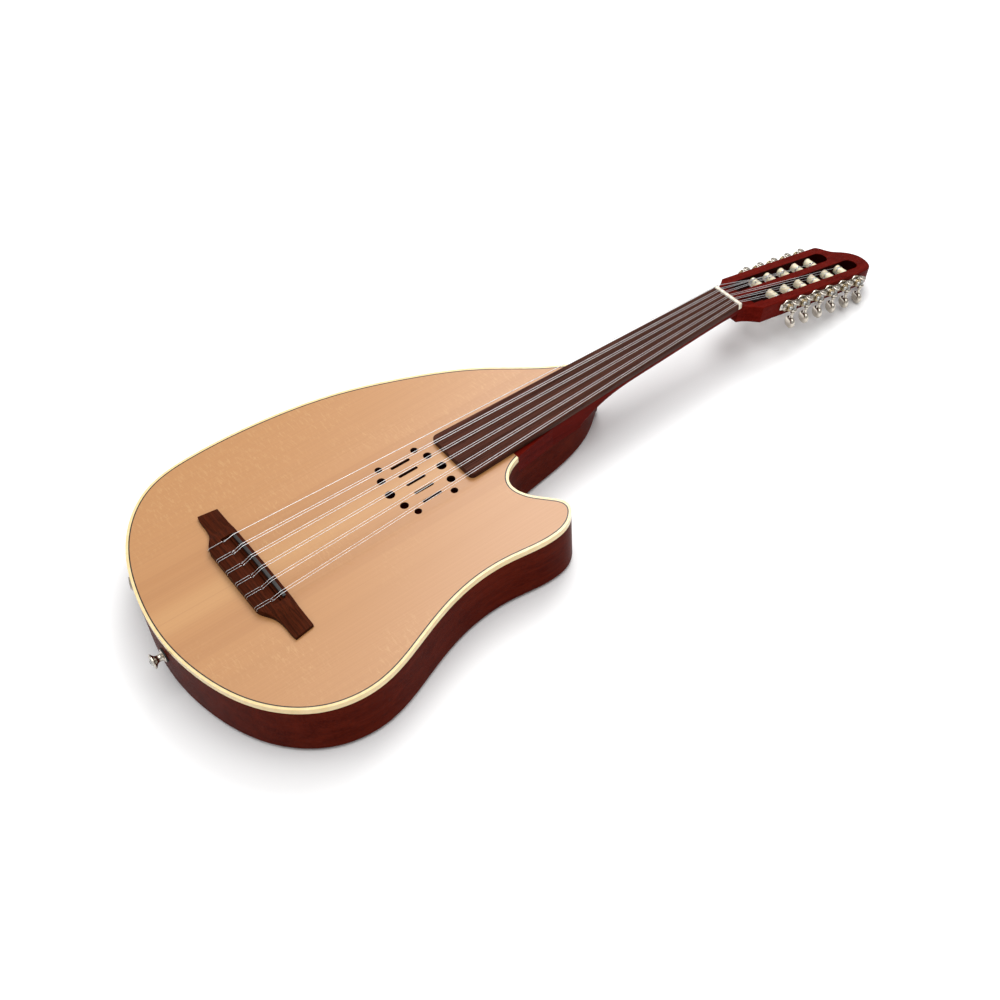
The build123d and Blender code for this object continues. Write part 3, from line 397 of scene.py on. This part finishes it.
ROW = Matrix.Scale(MM, 4)


class Build:
    """Gathers the geometry of one piece and its materials."""

    def __init__(self):
        self.mesh = bmesh.new()
        self.looks = []

    def rings(self, rings, look, place=ROW, closed=True, caps=True):
        """A skin over rings of points; a ring of one point closes to a tip."""
        if look not in self.looks:
            self.looks.append(look)
        index = self.looks.index(look)
        made = [[self.mesh.verts.new(place @ Vector(point)) for point in ring] for ring in rings]
        faces = []
        for a, b in zip(made, made[1:]):
            count = max(len(a), len(b))
            for i in range(count if closed else count - 1):
                j = (i + 1) % count
                corners = [a[i % len(a)], a[j % len(a)], b[j % len(b)], b[i % len(b)]]
                unique = list(dict.fromkeys(corners))
                faces.append(self.mesh.faces.new(unique))
        if caps:
            for ring, order in ((made[0], -1), (made[-1], 1)):
                if len(ring) > 2:
                    faces.append(self.mesh.faces.new(ring[::order]))
        for face in faces:
            face.material_index = index
            face.smooth = True
        return self

    def turned(self, profile, place, look, steps=28):
        """A lathe shape: (radius, height) points, its axis along the place's Z."""
        rings = []
        for radius, height in profile:
            if radius < 1e-6:
                rings.append([(0, 0, height)])
            else:
                angles = [2 * pi * i / steps for i in range(steps)]
                rings.append([(radius * cos(t), radius * sin(t), height) for t in angles])
        return self.rings(rings, look, place)

    def prism(self, outline, low, high, place, look, draft=0.0):
        """An outline pushed from low to high; its top shrinks by the draft."""
        top = [(x * (1 - draft), y * (1 - draft), high) for x, y in outline]
        return self.rings([[(x, y, low) for x, y in outline], top], look, place)

    def tube(self, points, radius, look, place=ROW, sides=8, caps=True):
        points = [Vector(p) for p in points]
        across = None
        rings = []
        for i, point in enumerate(points):
            ahead = (points[min(i + 1, len(points) - 1)] - points[max(i - 1, 0)]).normalized()
            if across is None:
                across = ahead.orthogonal().normalized()
            across = (across - ahead * across.dot(ahead)).normalized()
            other = ahead.cross(across)
            angles = [2 * pi * k / sides for k in range(sides)]
            rings.append([point + (across * cos(t) + other * sin(t)) * radius for t in angles])
        return self.rings(rings, look, place, caps=caps)

    def make(self, name, body, replaced=(), slot=None, bevel=0.0, angle=32):
        """Turn the geometry into an object that rides on a body."""
        bmesh.ops.recalc_face_normals(self.mesh, faces=self.mesh.faces)
        if bevel:
            inner = [edge for edge in self.mesh.edges if len(edge.link_faces) == 2]
            sharp = [edge for edge in inner if edge.calc_face_angle() > radians(angle)]
            bmesh.ops.bevel(
                self.mesh, geom=sharp, offset=bevel * MM, segments=2, profile=0.6, affect="EDGES",
                clamp_overlap=True,
            )
            for face in self.mesh.faces:
                face.smooth = True
        data = bpy.data.meshes.new(name)
        self.mesh.to_mesh(data)
        self.mesh.free()
        for look in self.looks:
            data.materials.append(look)
        data.set_sharp_from_angle(angle=radians(angle + 6))
        obj = bpy.data.objects.new(name, data)
        scene.collection.objects.link(obj)
        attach(obj, body)
        for node_name in replaced:
            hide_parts(node_name)
        return obj


def rounded(wide, high, corner, steps=5):
    """Outline of a rectangle with rounded corners, centred."""
    points = []
    for start, (sx, sy) in enumerate(((1, 1), (-1, 1), (-1, -1), (1, -1))):
        for k in range(steps + 1):
            t = pi / 2 * (start + k / steps)
            x = sx * (wide / 2 - corner) + corner * cos(t)
            points.append((x, sy * (high / 2 - corner) + corner * sin(t)))
    return points


SLOTS = {piece["node"]: piece["material_slot"] for piece in frame["record"]["subparts"]}
SHARP = 25                   # degrees at an edge that gets rounded
FLAT = 1                     # degrees between faces that count as one


def softened(node_name, offset, look):
    """A copy of a CAD node with its sharp edges rounded; it stands for the node."""
    build = Build()
    build.looks.append(look)
    build.mesh.from_mesh(frame["nodes"][node_name].data)
    bmesh.ops.remove_doubles(build.mesh, verts=build.mesh.verts, dist=2e-6)
    bmesh.ops.dissolve_limit(
        build.mesh, angle_limit=radians(FLAT), verts=build.mesh.verts, edges=build.mesh.edges,
    )
    body = frame["nodes"][node_name]["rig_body"]
    return build.make(
        node_name + "_soft", body, [node_name], SLOTS[node_name], bevel=offset, angle=SHARP,
    )


# ---------------------------------------------------------------- head and string places
def on_head(along, aside, deep):
    return HEAD_AT + ALONG * along + Vector((0, aside, 0)) - NORMAL * deep


def nut_offset(course, side):
    """A string's distance from the centreline at the nut."""
    return STRING_SHIFT + COURSE_PITCH_NUT * (course - 3.5) + PAIR_HALF_NUT * side


def roller_of(course, side):
    """Number of a string's roller, the side of the head, and where its winding begins."""
    order, sign = (BASS, 1) if course >= 4 else (TREBLE, -1)
    k = order.index((course, side))
    return k, sign, sign * (WIND_OUTER - WIND_STEP * k)


# ---------------------------------------------------------------- strings, with their ties at the bridge
TIE_FRONT = -12.5
TIE_REAR = -27.5
HOLE_Z = TOP + 4.4
TIE_TOP = TOP + 7.4


def string_piece(course):
    build = Build()
    radius = STRING_R[course]
    for side in (0,) if course == 6 else (-1, 1):
        middle = course - 3.5
        saddle_y = STRING_SHIFT + COURSE_PITCH * middle + PAIR_HALF * side
        nut_y = nut_offset(course, side)
        saddle_z = TOP + STRING_HIGH - SADDLE_CROWN * middle ** 2
        k, sign, wind_y = roller_of(course, side)
        along = ROLLER_FIRST + ROLLER_PITCH * k
        knot = Vector((TIE_FRONT + 1.1, saddle_y, TIE_TOP - 1.3))
        route = [
            Vector((TIE_FRONT - 1.0, saddle_y, HOLE_Z + 0.1)),
            Vector((TIE_FRONT + 0.2, saddle_y, HOLE_Z + 1.0)), knot,
            Vector((-1.7, saddle_y, saddle_z - 0.22)), Vector((-0.9, saddle_y, saddle_z)),
            Vector((0.6, saddle_y + (nut_y - saddle_y) * 0.6 / SCALE, saddle_z)),
            Vector((SCALE, nut_y, STRING_NUT_Z)), Vector((SCALE + NUT_LONG - 0.6, nut_y, STRING_NUT_Z - 0.05)),
        ]
        end = on_head(along, wind_y, ROLLER_DEEP - SLEEVE_R - radius)
        route.append(route[-1].lerp(end, 0.5))
        route.append(end)
        build.tube(route, radius, STRING)
        # the loop: up from the hole behind the block and over its top to the knot
        loop = [
            (TIE_REAR + 2.0, saddle_y, HOLE_Z), (TIE_REAR - 0.2, saddle_y - 0.2, HOLE_Z + 0.1),
            (TIE_REAR - 0.75, saddle_y - 0.5, HOLE_Z + 1.2), (TIE_REAR - 0.55, saddle_y - 0.6, TIE_TOP - 0.5),
            (TIE_REAR + 0.7, saddle_y - 0.6, TIE_TOP + 0.5 + radius),
            (TIE_REAR + 4.5, saddle_y - 0.7, TIE_TOP + 0.45 + radius),
            (TIE_FRONT - 4.0, saddle_y - 0.5, TIE_TOP + 0.35 + radius),
            (TIE_FRONT - 0.6, saddle_y - 0.4, TIE_TOP + 0.35 + radius),
            (TIE_FRONT + 0.7, saddle_y - 0.4, TIE_TOP - 0.5), (TIE_FRONT + 1.3, saddle_y - 0.1, TIE_TOP - 2.1),
        ]
        build.tube(smooth(loop, 3), radius, STRING)
        # two turns of the string's end round itself
        coil = []
        back = (knot - Vector((-1.7, saddle_y, saddle_z - 0.22))).normalized()
        up = back.cross(Vector((0, 1, 0))).normalized()
        for step in range(29):
            t = 2 * pi * step / 14
            ring = Vector((0, 1, 0)) * cos(t) + up * sin(t)
            coil.append(knot - back * (0.2 + step * 0.075) + ring * 2.05 * radius)
        build.tube(coil, radius * 0.95, STRING)
    node_name = f"strings_course_{course}"
    return build.make(node_name + "_wires", "instrument", [node_name], "string_silver")


def smooth(points, times=2):
    """Corner cutting, with the ends held."""
    line = [Vector(p) for p in points]
    for _ in range(times):
        cut = [line[0]]
        for a, b in zip(line, line[1:]):
            cut += [a.lerp(b, 0.25), a.lerp(b, 0.75)]
        line = cut + [line[-1]]
    return line


for course in range(1, 7):
    string_piece(course)

# ---------------------------------------------------------------- tuners
def head_place(along, aside, deep, z_dir, x_dir=None):
    return place_at(on_head(along, aside, deep), z_dir, x_dir or ALONG)


def gear_outline(teeth=15, root=3.45, tip=4.5):
    points = []
    for k in range(teeth):
        for share, radius in ((-0.30, root), (-0.16, tip), (0.16, tip), (0.30, root)):
            t = 2 * pi * (k + share) / teeth
            points.append((radius * cos(t), radius * sin(t)))
    return points


def roller_pieces(letter, sign, k, winding):
    name = f"{letter}{k + 1}"
    body = f"roller_{name}"
    along = ROLLER_FIRST + ROLLER_PITCH * k
    axis = head_place(along, 0, ROLLER_DEEP, (0, sign, 0))
    sleeve = Build()
    sleeve.turned(
        [(0, 4.95), (4.3, 4.95), (4.75, 5.15), (5.0, 5.6), (5.0, 6.6), (SLEEVE_R, 7.3), (SLEEVE_R, 18.8),
         (5.0, 19.6), (5.0, 20.5), (4.7, 21.0), (4.2, 21.1), (0, 21.1)], axis, NYLON, 36,
    )
    # two black discs on the sleeve stand for its string hole: painted shade
    for turn in (0.9, 0.9 + pi):
        hole = Matrix.Translation((SLEEVE_R - 0.25, 0, 13.0)) @ Matrix.Rotation(pi / 2, 4, "Y")
        at = axis @ Matrix.Rotation(turn, 4, "Z") @ hole
        sleeve.turned([(0, 0), (0.9, 0), (0.95, 0.3), (0.7, 0.34), (0, 0.30)], at, BLACK, 12)
    sleeve.make(f"sleeve_{name}", body, [f"roller_{name}"], "roller_nylon")
    gear = Build()
    gear.turned([(0, 2.6), (1.7, 2.6), (2.0, 2.9), (2.0, 5.2), (0, 5.2)], axis, STEEL, 20)
    gear.turned([(0, 20.8), (3.0, 20.8), (3.0, 36.2), (0, 36.2)], axis, STEEL, 24)
    gear.prism(gear_outline(), 36.1, 38.9, axis, BRASS)
    gear.turned([(0, 38.8), (2.4, 38.8), (2.4, 39.4), (2.0, 40.0), (1.1, 40.2), (0, 40.2)], axis, STEEL, 24)
    # the cross slot of the gear's end screw is two black bars: painted shade
    for turn in (0.4, 0.4 + pi / 2):
        slot = axis @ Matrix.Rotation(turn, 4, "Z")
        gear.prism([(-1.5, -0.22), (1.5, -0.22), (1.5, 0.22), (-1.5, 0.22)], 40.0, 40.28, slot, BLACK)
    gear.make(f"gear_{name}", body, [], "steel")
    course, side = winding
    radius = STRING_R[course]
    inner = WIND_OUTER - WIND_STEP * k
    turns = 2.6
    coil = []
    for step in range(int(turns * 16) + 1):
        t = 2 * pi * step / 16
        # the coil starts at the top of the sleeve, where the string comes in
        point = (-sin(t), cos(t))
        ring = ALONG * (point[0]) + NORMAL * point[1]
        centre = on_head(along, sign * (inner + 2.15 * radius * step / 16), ROLLER_DEEP)
        coil.append(centre + ring * (SLEEVE_R + radius))
    wire = Build().tube(coil, radius, STRING, sides=7)
    wire.make(f"winding_{name}", body, [], "string_silver")


def worm_helix(place, low, high, radius, pitch, look, build):
    steps = 16
    count = int((high - low) / pitch * steps)
    points = [
        (radius * cos(2 * pi * i / steps), radius * sin(2 * pi * i / steps), low + pitch * i / steps)
        for i in range(count + 1)
    ]
    build.tube(points, 0.62, look, place, sides=6)


def paddle(build, place, look):
    """A plump oval paddle: flat-sided in the middle, with a full round rim."""
    wide, tall, thick = 7.2, 6.55, 3.2
    rings = []
    steps = 40
    levels = 9
    for level in range(levels):
        share = -1 + 2 * level / (levels - 1)
        lift = sin(share * pi / 2)
        size = 1 - 0.42 * abs(lift) ** 3.2
        ring = []
        for k in range(steps):
            t = 2 * pi * k / steps
            x = abs(cos(t)) ** 0.86 * (1 if cos(t) >= 0 else -1)
            z = abs(sin(t)) ** 0.86 * (1 if sin(t) >= 0 else -1)
            ring.append((x * wide * size, lift * thick * 0.92, z * tall * size))
        rings.append(ring)
    caps = []
    for end, sign in ((rings[0], -1), (rings[-1], 1)):
        inner = [(x * 0.55, y + sign * thick * 0.05, z * 0.55) for x, y, z in end]
        caps.append(inner)
    rings = [[(0, -thick, 0)], caps[0]] + rings + [caps[1], [(0, thick, 0)]]
    build.rings(rings, look, place)


def button_pieces(letter, sign, k):
    name = f"{letter}{k + 1}"
    along = ROLLER_FIRST + ROLLER_PITCH * k + WORM_AHEAD
    worm_y = sign * (HEAD_HALF + GEAR_OUT)
    down = head_place(along, worm_y, 0, -NORMAL)
    build = Build()
    build.turned(
        [(0, 1.5), (1.0, 1.5), (1.45, 1.9), (1.45, 15.3), (2.1, 15.35), (2.3, 15.7), (2.3, 17.0), (1.75, 17.5),
         (1.5, 18.2), (1.5, 19.6), (1.9, 21.2), (2.4, 23.0), (0, 23.6)], down, NICKEL, 24,
    )
    build.turned([(0, 4.35), (1.9, 4.35), (1.9, 11.25), (0, 11.25)], down, STEEL, 20)
    worm_helix(down, 4.9, 10.9, 1.92, 1.35, STEEL, build)
    turn = Matrix.Rotation(radians(-sign * BUTTON_TURN), 4, NORMAL)
    wide_dir = turn @ ALONG
    middle = place_at(on_head(along, worm_y, 28.05), NORMAL, wide_dir)
    paddle(build, middle, NICKEL)
    build.make(f"key_{name}", f"button_{name}", [f"button_{name}"], "nickel")


def plate_outline(count):
    """Scalloped outline of one side's plate: a hump round each gear, a narrow waist between them."""
    start = ROLLER_FIRST - 11.0
    end = ROLLER_FIRST + ROLLER_PITCH * (count - 1) + WORM_AHEAD + 6.0
    top = []
    for k in range(count):
        mid = ROLLER_FIRST + ROLLER_PITCH * k
        for step in range(-4, 5):
            t = radians(step * 13.5)
            top.append((mid + 6.8 * sin(t), ROLLER_DEEP - 6.8 * cos(t)))
        if k < count - 1:
            top.append((mid + ROLLER_PITCH / 2, 3.6))
    low = [(x, 2 * ROLLER_DEEP - d) for x, d in reversed(top)]
    ends = [(end - 1.2, 3.9), (end, 5.4), (end, 2 * ROLLER_DEEP - 5.4), (end - 1.2, 2 * ROLLER_DEEP - 3.9)]
    starts = [
        (start + 1.2, 2 * ROLLER_DEEP - 3.9), (start, 2 * ROLLER_DEEP - 5.4), (start, 5.4), (start + 1.2, 3.9),
    ]
    return top + ends + low + starts


def plate_piece(side, sign, count):
    build = Build()
    side_place = place_at(on_head(0, sign * HEAD_HALF, 0), (0, sign, 0), ALONG)
    # in this place Y runs up or down the head with the side, so depth is given its sign
    outline = [(x, sign * d) for x, d in plate_outline(count)]
    build.prism(outline, 0.02, 1.6, side_place, NICKEL)
    for k in range(count):
        along = ROLLER_FIRST + ROLLER_PITCH * k
        worm = along + WORM_AHEAD
        for shallow, low in ((2.4, 4.2), (11.4, 13.2)):
            ear = head_place(worm, sign * (HEAD_HALF + GEAR_OUT), low, NORMAL)
            height = low - shallow
            build.turned(
                [(0, 0), (3.7, 0), (4.0, 0.3), (4.0, height - 0.5), (3.5, height - 0.05), (2.0, height),
                 (0, height)],
                ear, NICKEL, 28,
            )
            web = [(-2.5, -sign * 5.1), (2.5, -sign * 5.1), (2.5, 0), (-2.5, 0)]
            build.prism(web, 0.15, height - 0.15, ear, NICKEL)
    build.make(f"plate_{side}", "instrument", [f"tuner_plate_{side}"], "nickel", bevel=0.28)
    screws = Build()
    for k in range(0, count, 2):
        along = ROLLER_FIRST + ROLLER_PITCH * k - 7.5
        at = head_place(along, sign * (HEAD_HALF + 1.55), ROLLER_DEEP, (0, sign, 0))
        domed_screw(screws, at, 2.1, 1.1, STEEL)
    screws.make(f"plate_screws_{side}", "instrument", [f"tuner_screws_{side}"], "steel")


def domed_screw(build, place, radius, high, look, turn=0.5):
    """Screw head with a domed top and a cross slot, the slot drawn as black bars of painted shade."""
    profile = [
        (0, 0), (radius, 0), (radius, high * 0.25), (radius * 0.9, high * 0.62), (radius * 0.6, high * 0.9),
        (0, high),
    ]
    build.turned(profile, place, look, 24)
    # painted shade: the cross slot is two black bars
    for extra in (0, pi / 2):
        slot = place @ Matrix.Rotation(turn + extra, 4, "Z")
        half, thin = radius * 0.62, radius * 0.12
        slot_shade_bar = [(-half, -thin), (half, -thin), (half, thin), (-half, thin)]
        build.prism(slot_shade_bar, high * 0.75, high * 1.01, slot, BLACK)


BRASS = metal("gear_brass", (0.42, 0.33, 0.20), (0.26, 0.20, 0.12), rough=0.3)
for letter, sign, order in (("t", -1, TREBLE), ("b", 1, BASS)):
    for k, winding in enumerate(order):
        roller_pieces(letter, sign, k, winding)
        button_pieces(letter, sign, k)
plate_piece("treble", -1, 6)
plate_piece("bass", 1, 5)

# ---------------------------------------------------------------- softened copies of hard-edged CAD nodes
softened("bridge", 0.5, BRIDGE)
softened("saddle", 0.15, SADDLE)


def nut_piece():
    """The bone nut: a rounded ridge with shallow string notches, on the neck's leaning top."""
    low, front, rear, high = TOP + 4.23, SCALE + 0.02, SCALE + NUT_LONG, NUT_TOP
    half = 19.3
    notches = sorted(nut_offset(c, side) for c in range(1, 7) for side in ((0,) if c == 6 else (-1, 1)))
    stations = [(-half, 0.7), (-half + 0.25, 0.25), (-half + 0.7, 0.0)]
    for y in notches:
        stations += [(y - 0.42, 0.0), (y - 0.24, 0.42), (y + 0.24, 0.42), (y + 0.42, 0.0)]
    stations += [(half - 0.7, 0.0), (half - 0.25, 0.25), (half, 0.7)]
    rings = []
    for y, dip in stations:
        top = high - dip
        rings.append([
            (front, y, low), (front, y, top - 0.9), (front + 0.25, y, top - 0.3), (front + 0.9, y, top),
            (rear - 1.6, y, top - 0.12), (rear - 0.5, y, top - 0.6), (rear, y, top - 1.5), (rear, y, low + 0.1),
        ])
    Build().rings(rings, NUT).make("nut_bone", "instrument", ["nut"], SLOTS["nut"], angle=50)


nut_piece()

# ---------------------------------------------------------------- strap buttons
FELT = plastic("felt_washer", (0.02, 0.02, 0.02), (0.04, 0.038, 0.036), rough=0.95, grain=0.15, depth=0.12)


def strap_button(name, at, out):
    place = place_at(at, out, (0, 0, 1))
    build = Build()
    build.turned([(0, 0.02), (7.0, 0.02), (7.2, 0.5), (7.0, 1.1), (0, 1.1)], place, FELT, 32)
    build.turned(
        [(0, 1.1), (6.1, 1.1), (6.5, 1.5), (6.3, 2.0), (4.6, 2.5), (3.7, 3.6), (3.45, 5.5), (3.6, 7.8), (4.6, 9.4),
         (6.3, 10.6), (7.2, 11.3), (7.4, 12.0), (7.2, 12.7), (6.6, 13.0), (4.2, 13.0), (3.9, 12.6), (0, 12.4)],
        place, NICKEL, 40,
    )
    build.make(f"strap_button_{name}_turned", "instrument", [f"strap_button_{name}"], "nickel")
    screw = Build()
    domed_screw(screw, place @ Matrix.Translation((0, 0, 12.5)), 3.7, 1.9, STEEL, 0.7)
    screw.make(f"strap_screw_{name}_head", "instrument", [f"strap_screw_{name}"], "nickel")


strap_button("tail", (-109.0, -8.0, 34.0), (-1, 0, 0))
strap_button("heel", (382.6, 37.0, 20.0), (0.53, 0.848, 0))

# ---------------------------------------------------------------- preamp panel, sliders, back cover, jack
PANEL_OUT = atan2(67, 47)
panel_out = Vector((cos(PANEL_OUT), sin(PANEL_OUT), 0))
panel_across = Vector((sin(PANEL_OUT), -cos(PANEL_OUT), 0))
PANEL_AT = Vector((311.5, 90.6, 31.0))
SLIDER_PITCH = 12.0
panel_place = place_at(PANEL_AT, panel_out, panel_across)

softened("preamp_panel", 0.35, BLACK)
marks = Build()
for column in range(4):
    across = SLIDER_PITCH * (column - 1.5)
    for row in range(-2, 3):
        wide = 1.6 if row else 2.6
        for side in (-1, 1):
            middle = across + side * (2.2 + wide / 2)
            line = [(middle - wide / 2, row * 5.0 - 0.2), (middle + wide / 2, row * 5.0 - 0.2),
                    (middle + wide / 2, row * 5.0 + 0.2), (middle - wide / 2, row * 5.0 + 0.2)]
            marks.prism(line, -0.1, 0.06, panel_place, PRINT)
marks.make("preamp_marks", "instrument", [], "black_plastic")


def slider_piece(number, name):
    """A ribbed cap on its flat stem."""
    across = SLIDER_PITCH * (number - 1.5)
    spot = panel_place @ Matrix.Translation((across, 0, 0))
    build = Build()
    build.prism([(-0.8, -1.3), (0.8, -1.3), (0.8, 1.3), (-0.8, 1.3)], -4.5, 1.0, spot, STEEL)
    build.prism(rounded(7.0, 4.4, 0.8), 0.4, 1.4, spot, BLACK)
    build.prism(rounded(6.6, 4.0, 0.8), 1.4, 4.3, spot, BLACK, draft=0.10)
    for rib in (-1.2, -0.6, 0.6, 1.2):
        ridge = [(-2.9, rib - 0.14), (2.9, rib - 0.14), (2.9, rib + 0.14), (-2.9, rib + 0.14)]
        build.prism(ridge, 4.2, 4.55, spot, BLACK)
    build.prism([(-2.9, -0.16), (2.9, -0.16), (2.9, 0.16), (-2.9, 0.16)], 4.2, 4.58, spot, PRINT)
    build.make(f"slider_{name}_cap", f"slider_{name}", [f"slider_{name}"], "black_plastic", bevel=0.12)


for number, name in enumerate(("volume", "bass", "middle", "treble")):
    slider_piece(number, name)

softened("back_cover", 0.4, BLACK)
cover_screws = Build()
for sx in (-35.0, 35.0):
    for sy in (-21.0, 21.0):
        place = place_at((292.0 + sx, 50.0 + sy, 0.75), (0, 0, -1), (1, 0, 0))
        domed_screw(cover_screws, place, 1.38, 0.7, STEEL, 0.3)
cover_screws.make("back_cover_screw_heads", "instrument", ["back_cover_screws"], "steel")
softened("output_jack", 0.25, NICKEL)
softened("fingerboard", 0.15, BOARD)

# ---------------------------------------------------------------- floor and light
FLOOR_Z = cad_box[0][2] - 0.0003


def soft_light(name, at, target, size, power, colour=(1, 1, 1)):
    data = bpy.data.lights.new(name, "AREA")
    data.shape = "RECTANGLE"
    data.size = size[0]
    data.size_y = size[1]
    data.energy = power
    data.color = colour
    light = bpy.data.objects.new(name, data)
    light.location = at
    light.rotation_euler = (Vector(target) - Vector(at)).to_track_quat("-Z", "Y").to_euler()
    scene.collection.objects.link(light)


def floor_material():
    s = Shade("floor_white")
    speck = s.noise((400, 400, 400), detail=2.0)
    tone = s.mix(speck, (0.93, 0.93, 0.93), (0.96, 0.96, 0.96))
    return s.finish(tone, 0.9, Specular_IOR_Level=0.1)


floor_mesh = bpy.data.meshes.new("floor")
half = 6.0
corners = [(x * half, y * half, FLOOR_Z) for x, y in ((-1, -1), (1, -1), (1, 1), (-1, 1))]
floor_mesh.from_pydata(corners, [], [(0, 1, 2, 3)])
floor_mesh.materials.append(floor_material())
floor = bpy.data.objects.new("floor", floor_mesh)
scene.collection.objects.link(floor)

world = bpy.data.worlds.new("world")
world.use_nodes = True
world.node_tree.nodes["Background"].inputs["Color"].default_value = (1, 1, 1, 1)
world.node_tree.nodes["Background"].inputs["Strength"].default_value = 0.48
scene.world = world
scene.view_settings.view_transform = "Standard"
scene.view_settings.look = "None"

soft_light("overhead", (0.3, -0.1, 3.2), (0.3, -0.1, 0), (3.6, 3.6), 92)
soft_light("key", (1.30, 0.85, 1.75), (0.15, 0, 0.06), (1.1, 1.1), 19)
